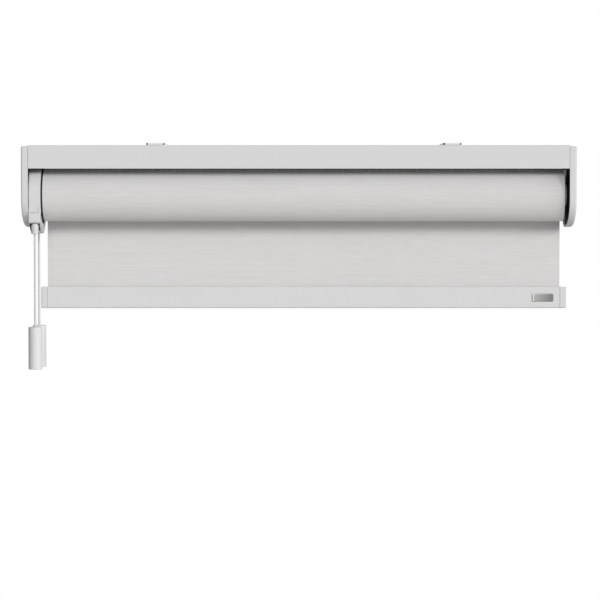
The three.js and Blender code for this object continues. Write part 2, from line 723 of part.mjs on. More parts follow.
/** The flat return spring: a spiral strip between the spigot and the housing. */
function makeReturnSpring() {
  const inner = SPIGOT_RADIUS + 2 * FIT;
  const outer = SHEAVE_RADIUS + SHEAVE_RIM;
  const steps = 16 * RETURN_SPRING_TURNS;
  const half = 0.4;
  const inside = [];
  const outside = [];
  for (let i = 0; i <= steps; i++) {
    const angle = (2 * Math.PI * i) / 16;
    const radius = inner + half + ((outer - inner - half) * i) / steps;
    const spoke = [Math.cos(angle), Math.sin(angle)];
    inside.push(new THREE.Vector2((radius - half) * spoke[0], (radius - half) * spoke[1]));
    outside.push(new THREE.Vector2((radius + half) * spoke[0], (radius + half) * spoke[1]));
  }
  const strip = new THREE.Shape([...outside, ...inside.reverse()]);
  return alongX(strip, SPIGOT_LEFT, SPIGOT_LEFT + RETURN_SPRING_WIDTH);
}

/** The grooved wheel that the cord turns, with its sleeve into the roller. */
function makeSheave() {
  const rim = SHEAVE_RADIUS + CORD_RADIUS + SHEAVE_RIM;
  const groove = SHEAVE_RADIUS - CORD_RADIUS - FIT;
  const bore = SPIGOT_RADIUS + FIT;
  return turnedX([
    [SHEAVE_LEFT, rim],
    [SHEAVE_LEFT + SHEAVE_FLANGE, rim],
    [CORD_X - CORD_RADIUS - FIT, groove],
    [CORD_X + CORD_RADIUS + FIT, groove],
    [SHEAVE_RIGHT - SHEAVE_FLANGE, rim],
    [SHEAVE_RIGHT, rim],
    [SHEAVE_RIGHT, HUB_RADIUS],
    [HUB_RIGHT, HUB_RADIUS],
    [HUB_RIGHT, bore],
    [SHEAVE_LEFT, bore],
    [SHEAVE_LEFT, rim],
  ]);
}

/** The fixed spindle: narrow through the sheave, wide where the brake spring grips it. */
function makeSpigot() {
  const step = HUB_RIGHT + FIT;
  const end = SPIGOT_LEFT + SPIGOT_LENGTH;
  let spigot = solid(
    turnedX([
      [SPIGOT_LEFT, 0],
      [SPIGOT_LEFT, SPIGOT_RADIUS],
      [step, SPIGOT_RADIUS],
      [step, HUB_RADIUS],
      [end - 1, HUB_RADIUS],
      [end, HUB_RADIUS - 1],
      [end, 0],
    ]),
  );
  for (const [, y, z] of CLUTCH_SCREWS) {
    const hole = rodX(SPIGOT_LEFT - 1, SPIGOT_LEFT + SCREW_BITE, SCREW_RADIUS + FIT, SMALL_ROUND);
    spigot = spigot.subtract(solid(hole.translate(0, y - AXIS_Y, z - AXIS_Z)));
  }
  return spigot;
}

/** A coil spring along X, from x0 to x1. */
function coilX(x0, x1, radius, wire, turns, stepsPerTurn) {
  const path = new THREE.Curve();
  path.getPoint = (t, target = new THREE.Vector3()) => {
    const angle = 2 * Math.PI * turns * t;
    const x = x0 + wire / 2 + (x1 - x0 - wire) * t;
    return target.set(x, radius * Math.cos(angle), radius * Math.sin(angle));
  };
  return swept(path, wire / 2, turns * stepsPerTurn, 5);
}

/** The cord inside the clutch: up from the rear, over the sheave and down to the guide. */
function makeCordWrap() {
  const [bendY, bendZ] = guideBend();
  const leave = leadAngle();
  const points = [];
  const rearEnd = REAR_SEAT + FIT;
  for (const z of [rearEnd, rearEnd / 2]) points.push(new THREE.Vector3(CORD_X, REAR_CORD_OFFSET, z));
  const arcSteps = 12;
  for (let i = 0; i <= arcSteps; i++) {
    const angle = (leave * i) / arcSteps;
    const y = SHEAVE_RADIUS * Math.cos(angle);
    const z = SHEAVE_RADIUS * Math.sin(angle);
    points.push(new THREE.Vector3(CORD_X, y, z));
  }
  const [lastY, lastZ] = [SHEAVE_RADIUS * Math.cos(leave), SHEAVE_RADIUS * Math.sin(leave)];
  for (const share of [0.3, 0.6, 0.9]) {
    const y = lastY + (bendY - lastY) * share;
    const z = lastZ + (bendZ - lastZ) * share;
    points.push(new THREE.Vector3(CORD_X, y, z));
  }
  points.push(new THREE.Vector3(CORD_X, bendY, bendZ - 2));
  points.push(new THREE.Vector3(CORD_X, bendY, NOZZLE_TOP + 2 * FIT));
  return swept(new THREE.CatmullRomCurve3(points, false, "centripetal"), CORD_RADIUS, 32, 8);
}

function makeClutch() {
  const group = groupAt(0, AXIS_Y, AXIS_Z);
  add(group, "clutch_housing", makeHousing(), "mouldedGrey");
  add(group, "clutch_cover", makeCover(), "mouldedGrey");
  const guide = alongX(guideShape(0), HOUSING_LEFT, HOUSING_RIGHT);
  const slot = alongX(guideSlotShape(), CORD_X - CORD_BORE, CORD_X + CORD_BORE);
  add(group, "cord_guide_block", solid(guide).subtract(solid(slot)), "mouldedGrey");
  const frontNozzle = add(group, "front_cord_nozzle", makeNozzle(NOZZLE_RADIUS, NOZZLE_HEIGHT), "mouldedGrey");
  frontNozzle.position.set(CORD_X, -FRONT_CORD_OFFSET, NOZZLE_TOP);
  const rearNozzle = makeNozzle(REAR_NOZZLE_RADIUS, REAR_NOZZLE_HEIGHT);
  const rear = add(group, "rear_cord_nozzle", rearNozzle, "mouldedGrey");
  rear.position.set(CORD_X, REAR_CORD_OFFSET, REAR_SEAT - FIT);
  add(group, "clutch_spigot", makeSpigot(), "zincSteel");
  add(group, "return_spring", makeReturnSpring(), "springSteel");
  add(group, "cord_sheave", makeSheave(), "acetal");
  add(group, "cord_wrap", makeCordWrap(), "braid");
  const brakeLeft = HUB_RIGHT + 2 * FIT;
  const brake = coilX(brakeLeft, brakeLeft + BRAKE_LENGTH, SPRING_RADIUS, SPRING_WIRE, 5, 14);
  add(group, "brake_spring", brake, "springSteel");
  const shank = 2 * FIT + PLATE_THICK + CLUTCH_WALL + SCREW_BITE;
  for (const [place, y, z] of CLUTCH_SCREWS) {
    const fixing = add(group, `clutch_screw_${place}`, screw(shank), "zincSteel");
    fixing.position.set(-PLATE_OUTER - FIT, y - AXIS_Y, z - AXIS_Z);
  }
  const coverShank = COVER_THICK + 3;
  for (const [place, y, z] of COVER_SCREWS) {
    const small = screw(coverShank, COVER_SCREW_RADIUS, 2 * COVER_SCREW_RADIUS, 0.8);
    const fixing = add(group, `clutch_cover_screw_${place}`, small, "zincSteel");
    fixing.position.set(CLUTCH_FACE - 0.9, y, z);
    fixing.rotation.z = Math.PI;
  }
  return group;
}

// ---------------------------------------------------------------- roller
const CROWN_FACE = CLUTCH_FACE + 2 * FIT;
const TUBE_LEFT = CROWN_FACE + FLANGE_THICK + FIT;
const IDLER_FACE = FABRIC_RIGHT + (IDLER_GAP - FLANGE_THICK) / 2;
const TUBE_RIGHT = IDLER_FACE - FLANGE_THICK - FIT;
const TUBE_INNER = TUBE_RADIUS - TUBE_WALL;
const KEY_RIB = TUBE_RADIUS - KEY_DEPTH - 2 * FIT - KEY_WALL; // inner face of the tube's key rib
const PLUG_RADIUS = TUBE_INNER - FIT;

/** A long block on the top of the tube, across its key groove. */
function keyBlock(x0, x1, width, low, high) {
  return block([x0, -width / 2, low], [x1, width / 2, high]);
}

function makeTube() {
  const skin = solid(ringX(TUBE_LEFT, TUBE_RIGHT, TUBE_INNER, TUBE_RADIUS));
  const ribWidth = KEY_WIDTH + 2 * KEY_WALL;
  const rib = keyBlock(TUBE_LEFT, TUBE_RIGHT, ribWidth, KEY_RIB, TUBE_INNER + TUBE_WALL / 2);
  const groove = keyBlock(TUBE_LEFT - 1, TUBE_RIGHT + 1, KEY_WIDTH, KEY_RIB + KEY_WALL, TUBE_RADIUS + 1);
  return skin.add(solid(rib)).subtract(solid(groove));
}

/** Cuts the notch that clears the tube's key rib from a plug. */
function notched(plug, x0, x1) {
  const width = KEY_WIDTH + 2 * KEY_WALL + 2 * FIT;
  return plug.subtract(solid(keyBlock(x0, x1, width, KEY_RIB - FIT, TUBE_RADIUS + 1)));
}

function makeCrown() {
  const bore = SPRING_RADIUS + SPRING_WIRE / 2 + FIT;
  const end = CROWN_FACE + CROWN_LENGTH;
  const wall = SPIGOT_LEFT + SPIGOT_LENGTH + 2 * FIT;
  const body = solid(
    turnedX([
      [CROWN_FACE, GUARD_RADIUS],
      [CROWN_FACE + GUARD_THICK, GUARD_RADIUS],
      [CROWN_FACE + GUARD_THICK, TUBE_RADIUS],
      [CROWN_FACE + FLANGE_THICK, TUBE_RADIUS],
      [CROWN_FACE + FLANGE_THICK, PLUG_RADIUS],
      [end - 1, PLUG_RADIUS],
      [end, PLUG_RADIUS - 1],
      [end, PIN_RADIUS],
      [wall, PIN_RADIUS],
      [wall, bore],
      [CROWN_FACE, bore],
      [CROWN_FACE, GUARD_RADIUS],
    ]),
  );
  return notched(body, CROWN_FACE + FLANGE_THICK, end + 1);
}

const IDLER_LEFT = IDLER_FACE - IDLER_LENGTH;
const PIN_TIP = CAP_INNER + PIN_REACH;
const COLLAR_RIGHT = IDLER_FACE - FLANGE_THICK - 8;
const COLLAR_LEFT = COLLAR_RIGHT - 4;
const SEAT_THICK = 3;

function makeIdlerPlug() {
  const body = solid(
    turnedX([
      [IDLER_LEFT, COLLAR_RADIUS + FIT],
      [IDLER_LEFT, PLUG_RADIUS - 1],
      [IDLER_LEFT + 1, PLUG_RADIUS],
      [IDLER_FACE - FLANGE_THICK, PLUG_RADIUS],
      [IDLER_FACE - FLANGE_THICK, TUBE_RADIUS],
      [IDLER_FACE, TUBE_RADIUS],
      [IDLER_FACE, PIN_RADIUS + FIT],
      [COLLAR_RIGHT + FIT, PIN_RADIUS + FIT],
      [COLLAR_RIGHT + FIT, COLLAR_RADIUS + FIT],
      [IDLER_LEFT, COLLAR_RADIUS + FIT],
    ]),
  );
  return notched(body, IDLER_LEFT - 1, IDLER_FACE - FLANGE_THICK);
}

function makePin() {
  return turnedX(
    [
      [COLLAR_LEFT, 0],
      [COLLAR_LEFT, COLLAR_RADIUS],
      [COLLAR_RIGHT, COLLAR_RADIUS],
      [COLLAR_RIGHT, PIN_RADIUS],
      [PIN_TIP - 1, PIN_RADIUS],
      [PIN_TIP, PIN_RADIUS - 1],
      [PIN_TIP, 0],
    ],
    24,
  );
}

function makeRoller() {
  const group = groupAt(0, AXIS_Y, AXIS_Z);
  add(group, "roller_tube", makeTube(), "millAluminium");
  add(group, "fabric_roll", ringX(FABRIC_LEFT, FABRIC_RIGHT, TUBE_RADIUS + FIT, ROLL_RADIUS, 48), "cloth");
  const keyLow = KEY_RIB + KEY_WALL + FIT;
  const keySide = KEY_WIDTH - 2 * FIT;
  const key = keyBlock(TUBE_LEFT, TUBE_RIGHT, keySide, keyLow, keyLow + KEY_DEPTH - FIT);
  add(group, "fabric_key", key, "darkNylon");
  add(group, "drive_crown", makeCrown(), "darkNylon");
  add(group, "idler_plug", makeIdlerPlug(), "darkNylon");
  const seat = rodX(IDLER_LEFT, IDLER_LEFT + SEAT_THICK, COLLAR_RADIUS, 24);
  add(group, "idler_spring_seat", seat, "acetal");
  const spring = coilX(IDLER_LEFT + SEAT_THICK + FIT, COLLAR_LEFT - FIT, COLLAR_RADIUS - 1, SPRING_WIRE, 6, 9);
  add(group, "idler_spring", spring, "springSteel");
  const bush = ringX(IDLER_FACE + FIT, CAP_INNER - FIT, PIN_RADIUS + FIT, BUSH_RADIUS, 32);
  add(group, "idler_bush", bush, "acetal");
  add(group, "idler_pin", makePin(), "zincSteel");
  return group;
}

// ---------------------------------------------------------------- fabric and bottom bar
const PANEL_Y = AXIS_Y + ROLL_RADIUS + FIT + FABRIC_THICK / 2; // middle of the hanging fabric
const BAR_TOP = AXIS_Z - PANEL_DROP;
const CHAMBER = SPLINE_HEIGHT + 2 * FIT; // height of the spline's chamber
const SLOT_TOP = -BAR_WALL; // below the mouth

/** Outline of the bar, its top middle at the origin, made smaller by inset. */
function barShape(inset) {
  const half = BAR_THICK / 2 - inset;
  const low = -BAR_HEIGHT + inset;
  const corner = Math.max(BAR_CORNER - inset, 0.3);
  const shape = new THREE.Shape();
  shape.moveTo(-half, -inset);
  shape.lineTo(-half, low + corner);
  shape.absarc(-half + corner, low + corner, corner, Math.PI, 1.5 * Math.PI, false);
  shape.absarc(half - corner, low + corner, corner, 1.5 * Math.PI, 2 * Math.PI, false);
  shape.lineTo(half, -inset);
  shape.closePath();
  return shape;
}

/** The lower chamber that the end caps' tenons plug into. */
function tenonShape(inset) {
  const half = BAR_THICK / 2 - BAR_WALL - inset;
  const top = SLOT_TOP - CHAMBER - BAR_WALL - inset;
  const low = -BAR_HEIGHT + BAR_WALL + inset;
  const shape = new THREE.Shape();
  shape.moveTo(-half, low);
  shape.lineTo(half, low);
  shape.lineTo(half, top);
  shape.lineTo(-half, top);
  shape.closePath();
  return shape;
}

/** The bar, hollow inside: a chamber and slot for the spline, and a pocket for the badge. */
function makeBar() {
  const mouth = BAR_SLOT / 2;
  const room = SPLINE_WIDTH / 2 + FIT;
  const chamber = block(
    [FABRIC_LEFT - 1, -room, SLOT_TOP - CHAMBER],
    [FABRIC_RIGHT + 1, room, SLOT_TOP],
  );
  const slot = block([FABRIC_LEFT - 1, -mouth, SLOT_TOP - 1], [FABRIC_RIGHT + 1, mouth, 1]);
  const hollow = alongX(tenonShape(0), FABRIC_LEFT - 1, FABRIC_RIGHT + 1);
  const badgeRight = FABRIC_RIGHT - BADGE_END;
  const pocket = block(
    [badgeRight - BADGE_WIDTH - FIT, -BAR_THICK, -BADGE_DROP - BADGE_HEIGHT - FIT],
    [badgeRight + FIT, -BAR_THICK / 2 + BADGE_POCKET, -BADGE_DROP + FIT],
  );
  return solid(alongX(barShape(0), FABRIC_LEFT, FABRIC_RIGHT, 5))
    .subtract(solid(chamber))
    .subtract(solid(slot))
    .subtract(solid(hollow))
    .subtract(solid(pocket));
}

/** A bar end from its joint at x = 0 towards +X, its tenon towards -X. */
function makeBarCap() {
  const head = roundedAlongX(barShape(0), FIT / 2, BAR_CAP, 0.5, 2);
  const tenon = alongX(tenonShape(FIT), -TENON_LENGTH, 1);
  return solid(head).add(solid(tenon));
}

function makeBottomBar() {
  const group = groupAt(0, PANEL_Y, BAR_TOP);
  add(group, "bar_profile", makeBar(), "powderCoat");
  const splineTop = SLOT_TOP - FIT;
  const spline = block(
    [FABRIC_LEFT, -SPLINE_WIDTH / 2, splineTop - SPLINE_HEIGHT],
    [FABRIC_RIGHT, SPLINE_WIDTH / 2, splineTop],
  );
  add(group, "bar_spline", spline, "darkNylon");
  add(group, "bar_right_cap", makeBarCap(), "mouldedGrey").position.x = FABRIC_RIGHT;
  const left = makeBarCap().mirror([1, 0, 0]);
  add(group, "bar_left_cap", left, "mouldedGrey").position.x = FABRIC_LEFT;
  const badgeRight = FABRIC_RIGHT - BADGE_END;
  const badgeBack = -BAR_THICK / 2 + BADGE_POCKET - FIT / 3;
  const badge = block(
    [badgeRight - BADGE_WIDTH, badgeBack - BADGE_THICK, -BADGE_DROP - BADGE_HEIGHT],
    [badgeRight, badgeBack, -BADGE_DROP],
  );
  add(group, "badge_plate", badge, "brushedBadge");
  const panelLow = SLOT_TOP + FIT;
  const panel = block(
    [FABRIC_LEFT, -FABRIC_THICK / 2, panelLow],
    [FABRIC_RIGHT, FABRIC_THICK / 2, AXIS_Z - BAR_TOP],
  );
  add(group, "fabric_panel", panel, "cloth");
  return group;
}

// ---------------------------------------------------------------- cords and tassels
const TASSEL_Z = AXIS_Z + NOZZLE_TOP - NOZZLE_HEIGHT - CORD_DROP; // top of each tassel
const KNOT_Z = TASSEL_Z - TASSEL_TOP - FIT - KNOT_RADIUS; // middle of the knot

/** A tassel from its top at z = 0 down: a small top hole over a wide bore. */
function makeTassel() {
  const rim = 0.5;
  return turnedZ(
    [
      [0, CORD_BORE],
      [-TASSEL_TOP, CORD_BORE],
      [-TASSEL_TOP, TASSEL_BORE],
      [-TASSEL_HEIGHT, TASSEL_BORE],
      [-TASSEL_HEIGHT, TASSEL_RADIUS - rim],
      [-TASSEL_HEIGHT + rim, TASSEL_RADIUS],
      [-rim, TASSEL_RADIUS],
      [0, TASSEL_RADIUS - rim],
      [0, CORD_BORE],
    ],
    24,
  );
}

/** A ball knot centred on z = 0. */
function makeKnot() {
  const steps = 6;
  const profile = [];
  for (let i = 0; i <= steps; i++) {
    const angle = -Math.PI / 2 + (Math.PI * i) / steps;
    const radius = i === 0 || i === steps ? 0 : KNOT_RADIUS * Math.cos(angle);
    profile.push([KNOT_RADIUS * Math.sin(angle), radius]);
  }
  return turnedZ(profile, 12);
}

/** The straight run of a cord, hung from top to the knot in its tassel. */
function makeCord(y, top) {
  const bottom = KNOT_Z + KNOT_RADIUS + FIT;
  const path = new THREE.LineCurve3(new THREE.Vector3(CORD_X, y, top), new THREE.Vector3(CORD_X, y, bottom));
  return swept(path, CORD_RADIUS, 15, 8);
}

function makeCords() {
  const group = new THREE.Group();
  const inFrontNozzle = AXIS_Z + NOZZLE_TOP;
  const inRearNozzle = AXIS_Z + REAR_SEAT - FIT;
  const runs = [
    ["front", AXIS_Y - FRONT_CORD_OFFSET, inFrontNozzle],
    ["rear", AXIS_Y + REAR_CORD_OFFSET, inRearNozzle],
  ];
  for (const [place, y, top] of runs) {
    add(group, `${place}_cord`, makeCord(y, top), "braid");
    add(group, `${place}_tassel`, makeTassel(), "mouldedGrey").position.set(CORD_X, y, TASSEL_Z);
    add(group, `${place}_cord_knot`, makeKnot(), "braid").position.set(CORD_X, y, KNOT_Z);
    const plug = turnedZ([
      [-TASSEL_HEIGHT, 0],
      [-TASSEL_HEIGHT, TASSEL_BORE - FIT],
      [-TASSEL_HEIGHT + TASSEL_PLUG, TASSEL_BORE - FIT],
      [-TASSEL_HEIGHT + TASSEL_PLUG, 0],
    ]);
    add(group, `${place}_tassel_plug`, plug, "mouldedGrey").position.set(CORD_X, y, TASSEL_Z);
  }
  return group;
}

// ---------------------------------------------------------------- the blind
const blind = new THREE.Group();
blind.add(makeHeadrail(), makeEnds(), makeBrackets(), makeClutch(), makeRoller(), makeBottomBar(), makeCords());

export default blind;
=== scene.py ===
"""Looks of a ceiling-fixed roller blind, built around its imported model.

The headrail, clutch, roller, bottom bar and cords are sub-assemblies with a class each. Everything is in
metres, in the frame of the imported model: +X along the headrail, +Y away from the room, +Z up, origin on the
ceiling.
"""

import json
import logging
import math
from collections.abc import Callable, Iterable, Iterator, Sequence
from contextlib import contextmanager
from dataclasses import dataclass, field
from enum import Enum

import bmesh
import bpy
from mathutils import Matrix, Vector


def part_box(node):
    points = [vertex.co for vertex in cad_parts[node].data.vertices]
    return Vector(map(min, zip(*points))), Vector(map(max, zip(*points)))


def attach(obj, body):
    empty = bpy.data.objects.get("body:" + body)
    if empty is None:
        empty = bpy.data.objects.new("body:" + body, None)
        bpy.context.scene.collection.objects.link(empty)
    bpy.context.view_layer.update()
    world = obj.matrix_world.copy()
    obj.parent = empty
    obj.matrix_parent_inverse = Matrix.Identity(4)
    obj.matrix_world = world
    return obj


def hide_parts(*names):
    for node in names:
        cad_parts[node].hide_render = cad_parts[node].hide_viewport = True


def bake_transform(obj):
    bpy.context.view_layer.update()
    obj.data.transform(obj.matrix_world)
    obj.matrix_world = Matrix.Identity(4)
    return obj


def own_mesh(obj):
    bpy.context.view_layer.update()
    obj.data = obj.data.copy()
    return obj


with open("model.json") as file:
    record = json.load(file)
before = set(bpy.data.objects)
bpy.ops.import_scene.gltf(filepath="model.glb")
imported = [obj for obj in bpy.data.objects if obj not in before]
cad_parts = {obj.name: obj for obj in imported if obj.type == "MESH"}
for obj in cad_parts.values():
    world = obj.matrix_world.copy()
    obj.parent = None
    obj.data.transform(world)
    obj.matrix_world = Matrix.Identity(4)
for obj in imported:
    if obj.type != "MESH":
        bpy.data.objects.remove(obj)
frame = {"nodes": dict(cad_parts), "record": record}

LOG = logging.getLogger("roller_blind")
MM = 0.001
SIDES = ("left", "right")
TOUCH = 1e-5  # how near a point is to a plane that it lies on
NEAR = 1e-4  # the same, for a looser match
FACING = 0.9  # a face whose normal reaches this far along an axis faces it
WELD = 1e-6  # points closer than this are one
SHARP = 32.0  # edges sharper than this many degrees stay sharp
Outline = list[tuple[float, float]]
Triple = tuple[float, float, float]
Piece = bpy.types.Object
Tree = bpy.types.NodeTree
Node = bpy.types.Node
Socket = bpy.types.NodeSocket


# ---- bench tools
def deselect_all() -> None:
    """Leaves edit mode and deselects every object."""
    if bpy.context.object and bpy.context.object.mode != "OBJECT":
        bpy.ops.object.mode_set(mode="OBJECT")
    bpy.ops.object.select_all(action="DESELECT")


def select_only(obj: Piece) -> None:
    """Makes one object the only selected one, and the active one."""
    deselect_all()
    obj.select_set(True)
    bpy.context.view_layer.objects.active = obj


def select_all(action: str = "SELECT") -> None:
    """Selects all of the piece in edit mode, or does another action on all of it."""
    bpy.ops.mesh.select_all(action=action)


@contextmanager
def edit_mode(obj: Piece) -> Iterator[bmesh.types.BMesh]:
    """Opens a piece in edit mode with nothing selected, and gives its edit mesh."""
    select_only(obj)
    bpy.ops.object.mode_set(mode="EDIT")
    select_all("DESELECT")
    mesh = bmesh.from_edit_mesh(obj.data)
    yield mesh
    bpy.ops.object.mode_set(mode="OBJECT")


def choose(obj: Piece, kind: str, test: Callable[[object], bool]) -> None:
    """Selects the "verts", "edges" or "faces" in edit mode that pass a test."""
    bpy.ops.mesh.select_mode(type={"verts": "VERT", "edges": "EDGE", "faces": "FACE"}[kind])
    select_all("DESELECT")
    mesh = bmesh.from_edit_mesh(obj.data)
    for element in getattr(mesh, kind):
        if test(element):
            element.select_set(True)
    mesh.select_flush_mode()
    bmesh.update_edit_mesh(obj.data)


def apply_modifier(obj: Piece, kind: str, **settings: object) -> None:
    """Adds a modifier with its settings and applies it."""
    select_only(obj)
    modifier = obj.modifiers.new(kind.title(), kind)
    for name, value in settings.items():
        setattr(modifier, name, value)
    bpy.ops.object.modifier_apply(modifier=modifier.name)


def cut(axis: int, places: Iterable[float]) -> None:
    """Cuts the piece in edit mode across an axis, at each of the places along it."""
    normal = [float(i == axis) for i in range(3)]
    for place in places:
        select_all()
        bpy.ops.mesh.bisect(plane_co=[place * part for part in normal], plane_no=normal)


def face_outwards(obj: Piece) -> None:
    """Turns the faces of a piece outwards."""
    with edit_mode(obj):
        select_all()
        bpy.ops.mesh.normals_make_consistent(inside=False)


def smooth(obj: Piece, angle: float) -> None:
    """Smooths all but the edges sharper than an angle in degrees, and keeps wide flat faces flat."""
    select_only(obj)
    bpy.ops.object.shade_smooth_by_angle(angle=math.radians(angle))
    apply_modifier(obj, "WEIGHTED_NORMAL", keep_sharp=True, weight=90)


def tidy_mesh(obj: Piece, angle: float = SHARP) -> None:
    """Merges doubles, turns the faces outwards and smooths all but the sharp edges."""
    with edit_mode(obj):
        select_all()
        bpy.ops.mesh.remove_doubles(threshold=WELD)
    face_outwards(obj)
    smooth(obj, angle)


def loop_piece(name: str, places: Sequence[Sequence[float]], fill: str) -> Piece:
    """A closed loop of edges through some places, filled with "NGON" or left open with "NOTHING"."""
    deselect_all()
    bpy.ops.mesh.primitive_circle_add(vertices=len(places), radius=1, fill_type=fill)
    obj = bpy.context.object
    obj.name = name
    for vertex, place in zip(obj.data.vertices, places):
        vertex.co = place
    return obj


def slab(name: str, outline: Outline, x0: float, x1: float) -> Piece:
    """A plate of a (y, z) outline, extruded along X from x0 to x1."""
    obj = loop_piece(name, [(x0, y, z) for y, z in outline], "NGON")
    with edit_mode(obj):
        select_all()
        bpy.ops.mesh.extrude_region_move(TRANSFORM_OT_translate={"value": (x1 - x0, 0, 0)})
    face_outwards(obj)
    return obj


def box_piece(name: str, low: Vector, high: Vector) -> Piece:
    """A block between two corners, its place in its mesh."""
    deselect_all()
    bpy.ops.mesh.primitive_cube_add(size=1, location=(low + high) / 2, scale=high - low)
    bpy.ops.object.transform_apply(location=True, rotation=True, scale=True)
    obj = bpy.context.object
    obj.name = name
    return obj


def arc(centre: tuple[float, float], radius: float, start: float, steps: int) -> Outline:
    """The points of a quarter circle from a start angle, anticlockwise."""
    angles = [start + 0.5 * math.pi * i / steps for i in range(steps + 1)]
    return [(centre[0] + radius * math.cos(a), centre[1] + radius * math.sin(a)) for a in angles]


def spun(name: str, profile: Outline, centre: Vector, axis: str, steps: int = 48) -> Piece:
    """A turned piece, spun from a closed profile.

    Args:
        name: the new object's name.
        profile: (radius, along) corners of the section, in order.
        centre: the point that along = 0 stands for.
        axis: "X" or "Z".
        steps: sides of the turned piece.

    Returns:
        The new object.
    """
    offsets = [(along, radius, 0) if axis == "X" else (radius, 0, along) for radius, along in profile]
    obj = loop_piece(name, [centre + Vector(offset) for offset in offsets], "NOTHING")
    direction = (1, 0, 0) if axis == "X" else (0, 0, 1)
    with edit_mode(obj):
        select_all()
        bpy.ops.mesh.spin(steps=steps, angle=math.tau, center=centre, axis=direction)
    tidy_mesh(obj, 35)
    return obj


def ease_edges(obj: Piece, width: float, **settings: object) -> None:
    """Bevels the sharp edges of a piece by a width in metres."""
    apply_modifier(
        obj, "BEVEL", width=width, segments=2, limit_method="ANGLE", angle_limit=math.radians(SHARP),
        **settings)


def middle(node: str) -> Vector:
    """The middle of a CAD node's box."""
    low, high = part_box(node)
    return (low + high) / 2


def refined(node: str, name: str, bevel: float = 0.0) -> Piece:
    """A finer copy of a CAD node, with its sharp edges eased.

    Args:
        node: the CAD node to copy.
        name: the copy's name.
        bevel: how far the edges are eased, in metres, or 0 for sharp edges.

    Returns:
        The copy, as an object of its own.
    """
    source = frame["nodes"][node]
    obj = source.copy()
    obj.data = source.data.copy()
    obj.animation_data_clear()
    for key in list(obj.keys()):
        del obj[key]
    obj.name = name
    obj.parent = None
    bpy.context.collection.objects.link(obj)
    with edit_mode(obj):
        select_all()
        bpy.ops.mesh.remove_doubles(threshold=WELD)
        bpy.ops.mesh.dissolve_limited(angle_limit=math.radians(0.6))
    if bevel:
        ease_edges(obj, bevel, use_clamp_overlap=True, miter_outer="MITER_ARC")
    smooth(obj, SHARP)
    return obj


def paint(obj: Piece, finish: "Finish") -> None:
    """Gives a piece one finish."""
    obj.data.materials.clear()
    obj.data.materials.append(finish.material())


def settle(obj: Piece, body: str, finish: "Finish", *nodes: str) -> Piece:
    """Gives a piece its finish and its body, and hides the CAD nodes that it stands for.

    Args:
        obj: the finished piece.
        body: the CAD body it moves with, or "" for a piece between two.
        finish: its surface.
        nodes: CAD nodes that it replaces.

    Returns:
        The same piece.
    """
    paint(obj, finish)
    if body:
        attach(obj, body)
    if nodes:
        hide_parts(*nodes)
    LOG.info("%s: %d faces on %s", obj.name, len(obj.data.polygons), body or "two bodies")
    return obj


def restyle(node: str, name: str, bevel: float, body: str, finish: "Finish") -> Piece:
    """A finer copy that stands for its CAD node, settled on its body with its finish."""
    return settle(refined(node, name, bevel), body, finish, node)


# ---- finishes
def linear(code: str) -> tuple[float, float, float, float]:
    """Turns an sRGB hex value such as "d3d4d3" to linear RGBA."""
    channels = [int(code[i:i + 2], 16) / 255 for i in (0, 2, 4)]
    values = [c / 12.92 if c <= 0.04045 else ((c + 0.055) / 1.055) ** 2.4 for c in channels]
    return values[0], values[1], values[2], 1.0


def feed(tree: Tree, node: Node, inputs: dict[str | int, object]) -> None:
    """Sets a node's inputs, by name or number, to values or links them to output sockets."""
    for name, value in inputs.items():
        if isinstance(value, Socket):
            tree.links.new(value, node.inputs[name])
        else:
            node.inputs[name].default_value = value


def add_node(tree: Tree, kind: str, inputs: dict[str | int, object], **settings: object) -> Node:
    """Adds a node, with its inputs and its settings.

    Args:
        tree: the node tree.
        kind: the node's type, such as "TexNoise".
        inputs: values, or output sockets to link, by input name or number.
        settings: attributes of the node.

    Returns:
        The new node.
    """
    node = tree.nodes.new(f"ShaderNode{kind}")
    for name, value in settings.items():
        setattr(node, name, value)
    feed(tree, node, inputs)
    return node


def new_material(name: str) -> tuple[bpy.types.Material, Tree, Node]:
    """A new material with its tree and its principled shader."""
    material = bpy.data.materials.new(name)
    material.use_nodes = True
    return material, material.node_tree, material.node_tree.nodes["Principled BSDF"]


class Coordinates(Enum):
    """Where a pattern is anchored: to the object, or along a cloth or a cord."""

    OBJECT = "Object"
    ALONG = "UV"


def pattern(tree: Tree, anchor: Coordinates, scale: Triple, turn: float = 0.0) -> Socket:
    """Texture coordinates stretched by a scale in cells per metre, and turned by an angle in degrees."""
    source = add_node(tree, "TexCoord", {})
    mapping = add_node(tree, "Mapping", {
        "Vector": source.outputs[anchor.value], "Scale": scale, "Rotation": (0, 0, math.radians(turn))})
    return mapping.outputs["Vector"]


def noise(tree: Tree, vector: Socket, **inputs: float) -> Socket:
    """Noise over texture coordinates, one cell to a unit unless a Scale is given."""
    return add_node(tree, "TexNoise", {"Vector": vector, "Scale": 1.0, **inputs}).outputs["Fac"]


def ranged(tree: Tree, value: Socket, **limits: float) -> Socket:
    """A value mapped from one range to another, with "_" for the spaces in the limits' names."""
    inputs = {name.replace("_", " "): limit for name, limit in limits.items()}
    return add_node(tree, "MapRange", {"Value": value, **inputs}).outputs["Result"]


def combined(tree: Tree, operation: str, *values: object) -> Socket:
    """The result of a math operation on values or sockets."""
    return add_node(tree, "Math", dict(enumerate(values)), operation=operation).outputs["Value"]


def mixed(tree: Tree, factor: Socket, first: object, second: object) -> Socket:
    """A colour between two, by a factor."""
    return add_node(tree, "Mix", {"Factor": factor, 6: first, 7: second}, data_type="RGBA").outputs[2]


